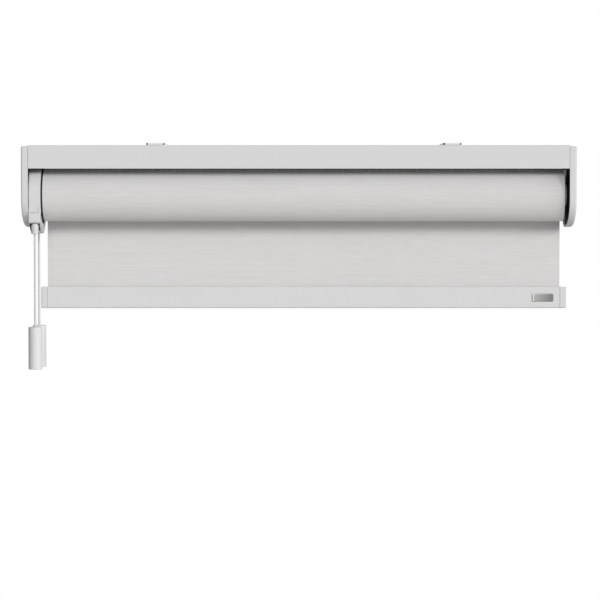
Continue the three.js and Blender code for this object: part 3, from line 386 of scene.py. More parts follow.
@dataclass(frozen=True)
class Finish:
    """What every finish has: a name, the record's slot, and the two colours that it varies between."""

    name: str
    slot: str
    dark: str
    light: str

    def material(self) -> bpy.types.Material:
        """The finish's material, made once."""
        return bpy.data.materials.get(self.name) or self.make()

    def make(self) -> bpy.types.Material:
        """Makes the material and its nodes."""
        material, tree, shader = new_material(self.name)
        self.shade(tree, shader)
        return material

    def shade(self, tree: Tree, shader: Node) -> None:
        """Builds the nodes in front of the shader."""
        raise NotImplementedError

    def tint(self, tree: Tree, factor: Socket) -> Socket:
        """A colour between the finish's two, by a factor."""
        return mixed(tree, factor, linear(self.dark), linear(self.light))


def wire(
    tree: Tree, shader: Node, colour: Socket, relief: Socket, strength: float, depth: float,
    **inputs: object,
) -> None:
    """Gives a shader its colour, its bump and its other inputs.

    Args:
        tree: the node tree.
        shader: the principled shader.
        colour: the base colour.
        relief: the height of the bump.
        strength: the strength of the bump.
        depth: the bump's distance in metres.
        inputs: other inputs, values or sockets, with "_" for the spaces in their names.
    """
    bump = add_node(tree, "Bump", {"Height": relief, "Strength": strength, "Distance": depth})
    feed(tree, shader, {"Base Color": colour, "Normal": bump.outputs["Normal"]})
    feed(tree, shader, {name.replace("_", " "): value for name, value in inputs.items()})


@dataclass(frozen=True)
class PaintedOrMoulded(Finish):
    """A coat or a moulded skin: even colour, a fine grain and a soft sheen.

    Powder coat shows a low orange peel about a millimetre across. Moulded ABS, nylon and acetal show a finer
    spark-eroded grain, which spreads the highlight.
    """

    roughness: float
    grain: float
    depth: float
    ior: float = 1.5

    def shade(self, tree: Tree, shader: Node) -> None:
        """Cloudy colour, uneven roughness, and grain as bump."""
        place = pattern(tree, Coordinates.OBJECT, (1, 1, 1))
        cloud = noise(tree, place, Scale=14.0, Detail=3.0, Roughness=0.55)
        grain = noise(tree, place, Scale=1 / self.grain, Detail=2.0)
        spread = ranged(tree, cloud, To_Min=self.roughness - 0.05, To_Max=self.roughness + 0.05)
        wire(
            tree, shader, self.tint(tree, cloud), grain, 0.5, self.depth,
            Roughness=spread, IOR=self.ior, Specular_IOR_Level=0.2)


@dataclass(frozen=True)
class DrawnMetal(Finish):
    """Metal with fine lines along one direction, from rolling, drawing or brushing."""

    roughness: float
    lines: Triple
    depth: float

    def shade(self, tree: Tree, shader: Node) -> None:
        """Streaked colour and roughness, and the lines as bump."""
        streak = noise(tree, pattern(tree, Coordinates.OBJECT, self.lines), Detail=4.0, Roughness=0.6)
        spread = ranged(tree, streak, To_Min=self.roughness - 0.08, To_Max=self.roughness + 0.08)
        wire(
            tree, shader, self.tint(tree, streak), streak, 0.4, self.depth, Roughness=spread, Metallic=1.0)


@dataclass(frozen=True)
class BadgeMetal(Finish):
    """Brushed, lacquered badge metal: a painted highlight along its left edge, and a tone that deepens
    rightwards.
    """

    # Colour of the painted highlight along the left edge.
    rim: str
    left: float = 0.2577
    width: float = 0.0232
    highlight_place: float = 0.065
    highlight_share: float = 0.025

    def shade(self, tree: Tree, shader: Node) -> None:
        """The tone runs along X, with fine brushed lines over it and a painted highlight at the left edge."""
        source = add_node(tree, "TexCoord", {})
        parts = add_node(tree, "SeparateXYZ", {"Vector": source.outputs["Object"]})
        along = ranged(tree, parts.outputs["X"], From_Min=self.left, From_Max=self.left + self.width)
        lines = noise(tree, pattern(tree, Coordinates.OBJECT, (110, 900, 2600)), Detail=3.0)
        uneven = ranged(tree, lines, To_Min=-0.35, To_Max=0.35)
        place = combined(tree, "ADD", along, uneven)
        tone = mixed(tree, place, linear(self.light), linear(self.dark))
        # Painted highlight: a pale band along the left edge, where the rim catches the light.
        rim = combined(tree, "COMPARE", along, self.highlight_place, self.highlight_share)
        colour = mixed(tree, rim, tone, linear(self.rim))
        wire(tree, shader, colour, lines, 0.4, 0.02 * MM, Metallic=0.6, Roughness=0.42)


@dataclass(frozen=True)
class BlindCloth(Finish):
    """Plain-woven polyester with slubs: long faint streaks along the width, over a fine weave.

    The cloth's UV map is in metres, so its threads keep their size on the roll and on the hanging part. The
    real threads are 0.35 mm apart; they are drawn 0.7 mm apart so that they show.
    """

    thread: float = 0.7 * MM
    slub: tuple[float, float] = (120 * MM, 1.6 * MM)
    streak: tuple[float, float] = (18 * MM, 0.8 * MM)
    wave_unit: float = 0.314  # a wave texture of this scale has one band to a unit

    def shade(self, tree: Tree, shader: Node) -> None:
        """Slub streaks, weave bump and a soft sheen."""
        slub, streak = [
            pattern(tree, Coordinates.ALONG, (1 / length, 1 / height, 1))
            for length, height in (self.slub, self.streak)]
        coarse = noise(tree, slub, Detail=3.0, Roughness=0.65)
        both = combined(tree, "MULTIPLY_ADD", noise(tree, streak, Detail=2.0), 1.1, coarse)
        heights = []
        for direction in ("X", "Y"):
            wave = add_node(tree, "TexWave", {
                "Vector": pattern(tree, Coordinates.ALONG, (1, 1, 1)), "Scale": self.wave_unit / self.thread,
                "Distortion": 1.2, "Detail": 1.0, "Detail Scale": 2.0}, bands_direction=direction)
            heights.append(wave.outputs["Fac"])
        relief = combined(tree, "MULTIPLY_ADD", both, 1.6, combined(tree, "MULTIPLY", *heights))
        colour = self.tint(tree, ranged(tree, both, From_Min=0.6, From_Max=1.5))
        wire(
            tree, shader, colour, relief, 0.35, 0.12 * MM, Roughness=0.85, Sheen_Weight=0.12,
            Sheen_Roughness=0.5, Specular_IOR_Level=0.2)


@dataclass(frozen=True)
class Braid(Finish):
    """Braided polyester cord: crossing strands, with painted shade darkening the gaps between them a little.
    """

    pitch: float = 3.2 * MM
    lean: float = 52.0

    def shade(self, tree: Tree, shader: Node) -> None:
        """The strands follow the cord's own UV map, crossing each other."""
        strands = []
        for lean in (self.lean, -self.lean):
            turned = pattern(tree, Coordinates.ALONG, (1 / self.pitch, 1 / self.pitch, 1), lean)
            wave = add_node(tree, "TexWave", {"Vector": turned, "Scale": 0.9}, bands_direction="X")
            strands.append(wave.outputs["Fac"])
        # Painted shade: the tint is darker in the gaps between the crossing strands.
        crossed = combined(tree, "MAXIMUM", *strands)
        wire(
            tree, shader, self.tint(tree, crossed), crossed, 0.6, 0.2 * MM, Roughness=0.8, Sheen_Weight=0.15)


POWDER_COAT = PaintedOrMoulded(
    "Powder-coated aluminium", "powder_coated_aluminium", "cdcecd", "cfd0cf", 0.68, 1.1 * MM, 0.03 * MM)
GREY_ABS = PaintedOrMoulded(
    "Moulded grey ABS", "moulded_grey_plastic", "cccdcc", "cfd0cf", 0.64, 0.6 * MM, 0.02 * MM, 1.54)
TASSEL_ABS = PaintedOrMoulded(
    "Moulded pale ABS", "moulded_grey_plastic", "d1d1d1", "d5d5d5", 0.6, 0.6 * MM, 0.02 * MM, 1.54)
NYLON = PaintedOrMoulded(
    "Dark glass-filled nylon", "dark_nylon", "2e2f30", "3c3d3e", 0.55, 0.8 * MM, 0.03 * MM, 1.53)
# Near-black pile, painted shade: it darkens the slit under the fascia and the gap beside the roll.
SHADE_PILE = PaintedOrMoulded("Black pile painted shade", "dark_nylon", "191a1b", "222324", 0.9, 0.5 * MM, 0.08 * MM, 1.53)
ACETAL = PaintedOrMoulded(
    "Natural acetal", "natural_acetal", "dededa", "eaeae6", 0.35, 0.9 * MM, 0.01 * MM, 1.48)
ZINC = DrawnMetal(
    "Zinc-plated steel", "zinc_plated_steel", "a4a7ab", "c3c6ca", 0.34, (60, 900, 900), 0.01 * MM)
BRACKET_ZINC = PaintedOrMoulded(
    "Dull white-passivated zinc", "zinc_plated_steel", "d6d8d8", "dfe0e0", 0.5, 0.9 * MM, 0.02 * MM, 1.6)
# Near-black, painted shade: the side plates sit in the shadow inside the end caps, and this colour stands for
# it.
SHADE_BLACK_ZINC = PaintedOrMoulded(
    "Near-black zinc painted shade", "zinc_plated_steel", "1b1c1e", "27292b", 0.7, 0.9 * MM, 0.02 * MM, 1.6)
SPRING = DrawnMetal(
    "Oiled spring steel", "spring_steel", "6d7074", "8d9094", 0.3, (900, 300, 300), 0.01 * MM)
ALUMINIUM = DrawnMetal(
    "Mill-finish aluminium", "mill_aluminium", "bfc2c6", "d2d4d7", 0.38, (8, 900, 900), 0.02 * MM)
BADGE = BadgeMetal("Brushed badge metal", "brushed_badge_metal", "6b6b6a", "a4a4a3", "c8c8c7")
CLOTH = BlindCloth("Woven blind cloth", "blind_fabric", "c6c5c4", "d5d4d4")
CORD = Braid("Braided polyester", "braided_cord", "b4b4b2", "dcdcda")
SLOT_FINISHES = (POWDER_COAT, GREY_ABS, NYLON, ACETAL, ZINC, SPRING, ALUMINIUM, BADGE, CLOTH, CORD)


# ---- studio
@dataclass
class Studio:
    """Camera, lights, sky and floor.

    Each strip light has a side in degrees, 0 in front and 90 on the right, a height in degrees and a power.
    """

    eye: Vector = field(default_factory=lambda: Vector((0.0012, -2.796, -0.064)))
    lens: float = 152.9
    pitch: float = 2.2
    floor_depth: float = 2.25
    floor_size: float = 6.0
    strips: tuple[Triple, ...] = (
        (-7, 14, 0.35), (11, 20, 0.77), (40, 14, 0.91), (68, 12, 0.47),
        (160, 12, 0.95), (200, 12, 0.95), (180, 65, 0.9))
    strip_spread: float = 15.0
    sky_side: float = 42.0
    sky_tilt: float = -0.3
    sky_start: float = -0.2
    sky_front: float = 0.66
    sky_back: float = 0.12

    def build(self) -> None:
        """Makes all of it."""
        self.build_camera()
        self.build_sky()
        self.build_lights()
        self.build_floor()
        bpy.context.scene.view_settings.view_transform = "Standard"

    def build_camera(self) -> None:
        """A long lens in front of the blind, level with its roll and pitched a little down."""
        data = bpy.data.cameras.new("Camera")
        data.lens = self.lens
        data.sensor_width = 36
        camera = bpy.data.objects.new("Camera", data)
        camera.location = self.eye
        camera.rotation_euler = (math.radians(90 - self.pitch), 0, 0)
        bpy.context.collection.objects.link(camera)
        bpy.context.scene.camera = camera

    def build_sky(self) -> None:
        """A white room: it is seen white, and lights the blind mostly from the front, the right and below."""
        world = bpy.data.worlds.new("White room")
        bpy.context.scene.world = world
        world.use_nodes = True
        tree = world.node_tree
        tree.nodes.clear()
        side = math.radians(self.sky_side)
        source = add_node(tree, "TexCoord", {})
        facing = add_node(tree, "VectorMath", {
            0: source.outputs["Generated"], 1: (math.sin(side), -math.cos(side), self.sky_tilt),
        }, operation="DOT_PRODUCT")
        strength = add_node(tree, "MapRange", {
            "Value": facing.outputs["Value"], "From Min": self.sky_start, "From Max": 1.0,
            "To Min": self.sky_back, "To Max": self.sky_front}, interpolation_type="SMOOTHSTEP")
        white = (1, 1, 1, 1)
        light = add_node(tree, "Background", {"Color": white, "Strength": strength.outputs["Result"]})
        seen = add_node(tree, "Background", {"Color": white, "Strength": 1.0})
        ray = add_node(tree, "LightPath", {})
        mix = add_node(tree, "MixShader", {
            0: ray.outputs["Is Camera Ray"], 1: light.outputs["Background"], 2: seen.outputs["Background"]})
        add_node(tree, "OutputWorld", {"Surface": mix.outputs["Shader"]})

    def build_lights(self) -> None:
        """Soft distant lights: four low in front, mostly from the right, two low behind, one high behind."""
        for side, height, power in self.strips:
            data = bpy.data.lights.new("Strip", "SUN")
            data.energy = power
            data.angle = math.radians(self.strip_spread)
            strip = bpy.data.objects.new("Strip", data)
            strip.rotation_euler = (math.radians(90 - height), 0, math.radians(side))
            bpy.context.collection.objects.link(strip)

    def build_floor(self) -> None:
        """A plain pale floor, below the lowest that the blind reaches."""
        deselect_all()
        bpy.ops.mesh.primitive_plane_add(size=self.floor_size, location=(0, 0, -self.floor_depth))
        floor = bpy.context.object
        floor.name = "studio_floor"
        material, tree, shader = new_material("Pale matt floor")
        feed(tree, shader, {"Base Color": linear("dcdcda"), "Roughness": 0.9})
        floor.data.materials.append(material)


# ---- headrail and ends
@dataclass
class Headrail:
    """The extrusion, its lip, the dark pile strip of painted shade and the two clip brackets."""

    edge: float = 0.35 * MM
    lip_edge: float = 0.12 * MM
    latch_edge: float = 0.2 * MM
    tufts: int = 160
    tuft_depth: float = 0.25 * MM
    tab_length: float = 4 * MM
    tab_half: float = 8 * MM
    tab_round: float = 0.5 * MM
    end_depth: float = 6 * MM
    wall: float = 0.22 * MM

    def build(self) -> None:
        """Eases the edges of the extrusion and builds the pieces on it."""
        restyle("headrail_profile", "headrail", self.edge, "headrail", POWDER_COAT)
        restyle("fascia_lip", "fascia_seal_strip", self.lip_edge, "headrail", GREY_ABS)
        self.build_shade_pile()
        for side in SIDES:
            self.build_bracket(side)
            restyle(f"{side}_bracket_latch", f"{side}_latch", self.latch_edge, f"{side}_latch", ACETAL)

    def build_shade_pile(self) -> None:
        """A dark pile strip behind the fascia, painted shade that darkens the slit under it, its lower edge
        combed into short tufts.
        """
        low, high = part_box("fascia_brush")
        length = high.x - low.x
        brush = box_piece("fascia_shade_pile", low, high)
        with edit_mode(brush):
            cut(0, [low.x + length * i / self.tufts for i in range(1, self.tufts)])
            choose(brush, "verts", lambda v: (
                v.co.z < low.z + TOUCH and round((v.co.x - low.x) * self.tufts / length) % 2))
            bpy.ops.transform.translate(value=(0, 0, self.tuft_depth))
        # Painted shade: the near-black pile stands for the shadow in the slit under the fascia.
        settle(brush, "headrail", SHADE_PILE, "fascia_brush")

    def build_bracket(self, side: str) -> None:
        """A bracket with the open ends of its rolled sides sunk beside the front tab."""
        node = f"{side}_bracket_plate"
        low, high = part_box(node)
        centre = middle(node).x
        front = low.y + self.tab_length
        plate = refined(node, f"{side}_bracket")
        with edit_mode(plate):
            choose(plate, "faces", lambda f: (
                f.normal.y < -FACING and abs(f.calc_center_median().y - front) < NEAR))
            bpy.ops.mesh.inset(thickness=self.wall, use_individual=True)
            bpy.ops.mesh.extrude_region_move(TRANSFORM_OT_translate={"value": (0, self.end_depth, 0)})
            choose(plate, "edges", lambda e: all(
                abs(abs(v.co.x - centre) - self.tab_half) < NEAR and v.co.y < front + NEAR
                and v.co.z > high.z - NEAR for v in e.verts))
            bpy.ops.mesh.bevel(offset=self.tab_round, segments=3, affect="EDGES", clamp_overlap=True)
        tidy_mesh(plate)
        settle(plate, "headrail", BRACKET_ZINC, node)


@dataclass
class EndCap:
    """One moulded cover: a dished plate with a full, nearly elliptical lower edge and a rounded rim."""

    side: str
    low_point: float = 58 * MM
    belly: float = 33 * MM
    fullness: float = 0.88
    corner: float = 2 * MM
    fillet: float = 1.9 * MM
    wall: float = 2.2 * MM
    steps: int = 28
    corner_steps: int = 4

    def outline(self, low: Vector, high: Vector) -> Outline:
        """The side view's outline, anticlockwise from the front shoulder."""
        bottom = low.y + self.low_point
        shoulder = low.z + self.belly
        points = []
        for half_width, start in ((bottom - low.y, math.pi), (high.y - bottom, 1.5 * math.pi)):
            for i in range(self.steps):
                angle = start + 0.5 * math.pi * i / self.steps
                y = math.copysign(abs(math.cos(angle)) ** self.fullness, math.cos(angle))
                z = math.copysign(abs(math.sin(angle)) ** self.fullness, math.sin(angle))
                points.append((bottom + half_width * y, shoulder + self.belly * z))
        points.append((high.y, shoulder))
        z = high.z - self.corner
        for y, turn in ((high.y - self.corner, 0.0), (low.y + self.corner, 0.5 * math.pi)):
            points += arc((y, z), self.corner, turn, self.corner_steps)
        return points

    def build(self) -> None:
        """Extrudes the outline, rounds the outer rim and hollows the inner side."""
        node = f"{self.side}_end_cap"
        low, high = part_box(node)
        sign = 1 if self.side == "right" else -1
        inner, outer = (low.x, high.x) if sign > 0 else (high.x, low.x)
        cap = slab(f"{self.side}_cap", self.outline(low, high), inner, outer)
        with edit_mode(cap):
            choose(cap, "faces", lambda f: (
                abs(f.normal.x) > FACING and abs(f.calc_center_median().x - inner) < TOUCH))
            bpy.ops.mesh.inset(thickness=self.wall)
            depth = outer - inner - sign * self.wall
            bpy.ops.mesh.extrude_region_move(TRANSFORM_OT_translate={"value": (depth, 0, 0)})
            choose(cap, "edges", lambda e: all(abs(v.co.x - outer) < TOUCH for v in e.verts) and any(
                v.co.z < high.z - TOUCH for v in e.verts))
            bpy.ops.mesh.bevel(offset=self.fillet, segments=5, affect="EDGES")
        tidy_mesh(cap, 40)
        settle(cap, "headrail", GREY_ABS, node)


# ---- clutch
@dataclass
class Clutch:
    """Housing, cover, cord guide and nozzles of the side clutch."""

    rim: float = 0.5 * MM
    seam: float = 0.3 * MM
    seam_top: float = -66 * MM
    seam_bottom: float = -75.2 * MM
    seam_front: float = -20 * MM
    bisect_step: float = 0.05 * MM
    shade_strip_edge: tuple[float, float] = (0.2 * MM, 1.0 * MM)
    shade_strip_drop: float = 3.5 * MM
    shade_strip_start: float = 9 * MM
    shade_strip_facet: float = 4 * MM * MM
    shade_sheet: float = 0.3 * MM
    shade_sheet_rim: float = 2.4 * MM
    shade_sheet_bore: float = 12.4 * MM
    shade_sheet_chamfer: float = 0.2 * MM
    nozzle_bore: float = 1.7 * MM
    nozzle_throat: float = 1.3 * MM

    def build(self) -> None:
        """Refines the moulded shapes and turns the nozzles."""
        housing = refined("clutch_housing", "clutch_body")
        self.build_shade_strips(housing)
        self.ease_rim(housing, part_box("clutch_housing")[0].x)
        settle(housing, "headrail", GREY_ABS, "clutch_housing")
        cover = refined("clutch_cover", "clutch_face")
        self.square_rim(cover)
        inner, outer = [corner.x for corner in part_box("clutch_cover")]
        self.build_shade_sheet(outer)
        self.close_seam(cover, inner)
        settle(cover, "headrail", GREY_ABS, "clutch_cover")
        self.build_guide(outer)
        for side in ("front", "rear"):
            self.build_nozzle(side)

    def ease_rim(self, obj: Piece, x: float) -> None:
        """Rounds the rim of a clutch piece on one side."""
        with edit_mode(obj):
            choose(obj, "edges", lambda e: all(abs(v.co.x - x) < TOUCH for v in e.verts))
            bpy.ops.mesh.bevel(offset=self.rim, segments=3, affect="EDGES", clamp_overlap=True)
        tidy_mesh(obj)

    def build_shade_strips(self, housing: Piece) -> None:
        """Dark strips of painted shade under the guide, one behind each nozzle, following the housing's
        curve.
        """
        sides = [corner.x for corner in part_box("clutch_housing")]
        centre = (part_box("front_cord_nozzle")[0].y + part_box("rear_cord_nozzle")[1].y) / 2
        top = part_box("cord_guide_block")[0].z
        for side, sign in (("front", -1), ("rear", 1)):
            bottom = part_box(f"{side}_cord_nozzle")[0].z + self.shade_strip_drop
            select_only(housing)
            bpy.ops.object.duplicate()
            shade_strip = bpy.context.object
            shade_strip.name = f"{side}_painted_shade_strip"

            def wanted(face: bmesh.types.BMFace) -> bool:
                """Whether a face is a facet of the curve, between the guide and the nozzle's mouth."""
                place = face.calc_center_median()
                return (
                    bottom < place.z < top and abs(face.normal.x) < 1 - FACING and face.normal.z < -0.2
                    and face.normal.y * sign > 0 and (place.y - centre) * sign > self.shade_strip_start
                    and face.calc_area() > self.shade_strip_facet)

            with edit_mode(shade_strip):
                cut(2, (top, bottom))
                choose(shade_strip, "faces", lambda f: not wanted(f))
                bpy.ops.mesh.delete(type="FACE")
                for x, shift in zip(sides, self.shade_strip_edge):
                    choose(shade_strip, "verts", lambda v: abs(v.co.x - x) < NEAR)
                    bpy.ops.transform.translate(value=(shift, 0, 0))
            apply_modifier(shade_strip, "SOLIDIFY", thickness=self.shade_sheet, offset=1.0)
            smooth(shade_strip, SHARP)
            # Painted shade: dark nylon strips stand for the shadow beside the nozzles.
            settle(shade_strip, "headrail", NYLON)

    def square_rim(self, cover: Piece) -> None:
        """Brings both rims of the cover out to its full outline."""
        low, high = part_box("clutch_cover")
        with edit_mode(cover) as mesh:
            for x in (low.x, high.x):
                for vertex in [v for v in mesh.verts if abs(v.co.x - x) < TOUCH]:
                    for edge in vertex.link_edges:
                        other = edge.other_vert(vertex).co
                        if 0.3 * MM < abs(other.x - x) < 1 * MM:
                            vertex.co.yz = other.yz
        tidy_mesh(cover)

    def build_shade_sheet(self, x: float) -> None:
        """A thin dark ring on the cover's inner face, beside the roll: painted shade for the gap between the
        clutch and the roll.
        """
        roll_low, roll_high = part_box("fabric_roll")
        centre = Vector((x, *middle("fabric_roll").yz))
        outer = (roll_high.z - roll_low.z) / 2 + self.shade_sheet_rim
        profile = [
            (self.shade_sheet_bore, 0.0), (outer, 0.0), (outer, 0.7 * self.shade_sheet),
            (outer - self.shade_sheet_chamfer, self.shade_sheet), (self.shade_sheet_bore, self.shade_sheet)]
        # Painted shade: the dark ring stands for the shadow in the gap beside the roll.
        settle(spun("cover_shade_sheet", profile, centre, "X", 96), "headrail", SHADE_PILE)

    def close_seam(self, cover: Piece, x: float) -> None:
        """Brings the cover up to the housing, but for a short gap in front beside the guide block."""
        low, high, step = self.seam_bottom, self.seam_top, self.bisect_step
        with edit_mode(cover):
            cut(2, (high, high - step, low + step, low))
            choose(cover, "verts", lambda v: abs(v.co.x - x) < TOUCH and not (
                low + TOUCH < v.co.z < high - TOUCH and v.co.y < self.seam_front))
            bpy.ops.transform.translate(value=(-self.seam, 0, 0))
        tidy_mesh(cover)

    def build_guide(self, x: float) -> None:
        """The block round the two cords, widened to the cover's outer face."""
        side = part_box("cord_guide_block")[1].x
        guide = refined("cord_guide_block", "cord_guide")
        with edit_mode(guide):
            choose(guide, "verts", lambda v: v.co.x > side - TOUCH)
            bpy.ops.transform.translate(value=(x - side, 0, 0))
        ease_edges(guide, self.seam)
        tidy_mesh(guide)
        settle(guide, "headrail", GREY_ABS, "cord_guide_block")

    def build_nozzle(self, side: str) -> None:
        """A domed nozzle with a flared mouth and a raised ring round it."""
        node = f"{side}_cord_nozzle"
        low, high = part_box(node)
        radius, height = (high.x - low.x) / 2, high.z - low.z
        bore, throat = self.nozzle_bore, self.nozzle_throat
        crown = throat + 0.15 * MM
        profile = [(throat, 0.0), (throat, -1.5 * MM), (bore, -2.2 * MM), (bore, 1.2 * MM - height)]
        profile += [(bore + 0.5 * MM, 0.3 * MM - height), (bore + 0.9 * MM, -height)]
        profile += [(radius - 0.7 * MM, -height), (radius - 0.35 * MM, 0.15 * MM - height)]
        profile += [(radius - 0.2 * MM, 0.5 * MM - height)]
        profile += [(crown + (radius - crown) * y, radius * (z - 1)) for y, z in arc((0, 0), 1, 0, 10)]
        centre = Vector((*middle(node).xy, high.z))
        settle(spun(f"{side}_nozzle", profile, centre, "Z"), "headrail", GREY_ABS, node)


# ---- roller and cloth
CLOTH_THICKNESS = 0.44 * MM


@dataclass
class WoundRoll:
    """The cloth wound on its tube: one long spiral sheet."""

    pitch: float = 0.5 * MM
    steps_per_turn: int = 72
    tuck: float = 0.2
    lap: float = 0.04 * MM
    end_angle: float = 70.0
    selvedge: float = 0.4 * MM

    def build(self) -> None:
        """Winds the sheet from the tube outwards and tucks its last part down."""
        low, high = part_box("fabric_roll")
        axis = middle("fabric_roll")
        outer = (high.z - low.z) / 2 - CLOTH_THICKNESS / 2
        tube_low, tube_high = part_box("roller_tube")
        inner = (tube_high.y - tube_low.y) / 2 + self.pitch
        turns = (outer - inner) / self.pitch
        count = int(turns * self.steps_per_turn)
        path = []
        for i in range(count + 1):
            turn = turns * i / count
            radius = inner + self.pitch * turn
            last = turns - turn
            if last < self.tuck:
                ease = 1 - last / self.tuck
                radius -= (self.pitch - self.lap) * ease * ease * (3 - 2 * ease)
            path.append(polar(axis, radius, math.tau * (turn - turns) + math.radians(self.end_angle)))
        rows = measured(path)
        columns = [low.x, low.x + self.selvedge, high.x - self.selvedge, high.x]
        roll = sheet_mesh("wound_cloth", rows, columns)
        apply_modifier(roll, "SOLIDIFY", thickness=CLOTH_THICKNESS, offset=0.0)
        shade_soft(roll, 30)
        settle(roll, "roller", CLOTH, "fabric_roll")


@dataclass
class HangingCloth:
    """The cloth from the top of the roll, over its back and down into the bottom bar."""

    over: float = 75.0
    rows_over: int = 24
    rows_down: int = 90
    columns: int = 72
    ripple: float = 0.12 * MM
    long_wave: float = 31.0
    long_wave_start: float = 0.7
    short_wave: float = 67.0
    short_wave_share: float = 0.6
    short_wave_lean: float = 9.0

    def build(self) -> None:
        """Models the sheet, with a faint ripple between the headrail and the bottom bar."""
        low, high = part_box("fabric_panel")
        axis = middle("fabric_roll")
        plane = middle("fabric_panel").y
        bar_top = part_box("bar_profile")[1].z
        angles = [math.radians(self.over * (1 - i / self.rows_over)) for i in range(self.rows_over)]
        path = [polar(axis, plane - axis.y, angle) for angle in angles]
        for i in range(self.rows_down + 1):
            path.append(Vector((0, plane, axis.z + (low.z - axis.z) * i / self.rows_down)))
        rows = measured(path)
        width = high.x - low.x
        columns = [low.x + width * i / self.columns for i in range(self.columns + 1)]
        panel = sheet_mesh("hanging_cloth", rows, columns)
        for vertex in panel.data.vertices:
            x, _, z = vertex.co
            free = max(0.0, min(1.0, (axis.z - z) / (axis.z - bar_top)))
            sway = math.sin(x * self.long_wave + self.long_wave_start)
            sway += self.short_wave_share * math.sin(x * self.short_wave + z * self.short_wave_lean)
            vertex.co.y += self.ripple * sway * math.sin(math.pi * free)
        apply_modifier(panel, "SOLIDIFY", thickness=CLOTH_THICKNESS, offset=0.0)
        shade_soft(panel, 30)
        settle(panel, "", CLOTH, "fabric_panel")
        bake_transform(panel)


def polar(axis: Vector, radius: float, angle: float) -> Vector:
    """A point round an axis along X, at x = 0."""
    return Vector((0, axis.y + radius * math.cos(angle), axis.z + radius * math.sin(angle)))


def measured(path: list[Vector]) -> list[tuple[Vector, float]]:
    """The points of a path, each with its distance along it."""
    rows = [(path[0], 0.0)]
    for point in path[1:]:
        rows.append((point, rows[-1][1] + (point - rows[-1][0]).length))
    return rows


def new_piece(name: str, points: list[Triple], faces: list[tuple[int, ...]]) -> Piece:
    """A new object from its points and faces, with an empty UV map."""
    mesh = bpy.data.meshes.new(name)
    mesh.from_pydata(points, [], faces)
    mesh.uv_layers.new(name="metres")
    obj = bpy.data.objects.new(name, mesh)
    bpy.context.collection.objects.link(obj)
    return obj


def sheet_mesh(name: str, rows: list[tuple[Vector, float]], columns: list[float]) -> Piece:
    """A grid of cloth with a UV map in metres.

    Args:
        name: the new object's name.
        rows: points of the section, each with its distance along the cloth.
        columns: places along X.

    Returns:
        The new object, one face thick.
    """
    across = len(columns)
    points = [(x, point.y, point.z) for point, _ in rows for x in columns]
    faces = [
        (r * across + c, r * across + c + 1, (r + 1) * across + c + 1, (r + 1) * across + c)
        for r in range(len(rows) - 1) for c in range(across - 1)
    ]
    obj = new_piece(name, points, faces)
    uv = obj.data.uv_layers[0].data
    for loop in obj.data.loops:
        row, column = divmod(loop.vertex_index, across)
        uv[loop.index].uv = (columns[column], rows[row][1])
    return obj


def shade_soft(obj: Piece, angle: float) -> None:
    """Turns the faces outwards and smooths all but the edges sharper than an angle in degrees."""
    face_outwards(obj)
    select_only(obj)
    bpy.ops.object.shade_smooth_by_angle(angle=math.radians(angle))


@dataclass
class RollerEnds:
    """The turned pieces seen in the gaps at the ends of the roll."""

    steps: int = 64
    ease: float = 0.4 * MM
    bore: float = 4.3 * MM
    hub_height: float = 0.5 * MM
    hub_share: tuple[float, float] = (0.62, 0.66)

    def build(self) -> None:
        """Turns the idler bush, with an eased rim and a raised hub."""
        low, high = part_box("idler_bush")
        radius = (high.z - low.z) / 2
        width = high.x - low.x
        face = width - self.hub_height
        hub_top, hub_foot = [radius * share for share in self.hub_share]
        profile = [(self.bore, 0.0), (self.bore, width), (hub_top, width), (hub_foot, face)]
        profile += [(radius - self.ease, face), (radius, face - self.ease), (radius, self.ease)]
        profile += [(radius - self.ease, 0.0)]
        centre = Vector((low.x, *middle("idler_bush").yz))
        settle(spun("idler_hub", profile, centre, "X", self.steps), "roller", ACETAL, "idler_bush")
        self.build_spring()

    def build_spring(self) -> None:
        """The spring behind the idler pin, given a mesh of its own; the real spring shortens as the pin goes
        in, this one keeps its shape.
        """
        coil = restyle("idler_spring", "idler_coil", 0.0, "roller", SPRING)
        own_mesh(coil)


# ---- bottom bar
@dataclass
class BottomBar:
    """The bar, its two end caps and the blank metal badge."""

    edge: float = 0.3 * MM
    cap_edge: float = 0.2 * MM
    badge_corner: float = 0.7 * MM
    badge_rim: float = 0.35 * MM
    badge_step: float = 0.12 * MM
    badge_field: float = 0.25 * MM

    def build(self) -> None:
        """Refines the bar and caps, and models the badge."""
        restyle("bar_profile", "bottom_bar_profile", self.edge, "bottom_bar", POWDER_COAT)
        for side in SIDES:
            restyle(f"bar_{side}_cap", f"bottom_bar_{side}_end", self.cap_edge, "bottom_bar", GREY_ABS)
        self.build_badge()

    def build_badge(self) -> None:
        """A blank plate: round corners, and a rim that slopes up to a slightly raised face."""
        low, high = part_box("badge_plate")
        badge = box_piece("badge", low, high)
        with edit_mode(badge):
            choose(badge, "edges", lambda e: abs((e.verts[0].co - e.verts[1].co).normalized().y) > FACING)
            bpy.ops.mesh.bevel(offset=self.badge_corner, segments=4, affect="EDGES")
            choose(badge, "faces", lambda f: f.normal.y < -FACING)
            bpy.ops.mesh.inset(thickness=self.badge_rim)
            bpy.ops.transform.translate(value=(0, -self.badge_step, 0))
            bpy.ops.mesh.inset(thickness=self.badge_field)
        tidy_mesh(badge, 50)
        settle(badge, "bottom_bar", BADGE, "badge_plate")


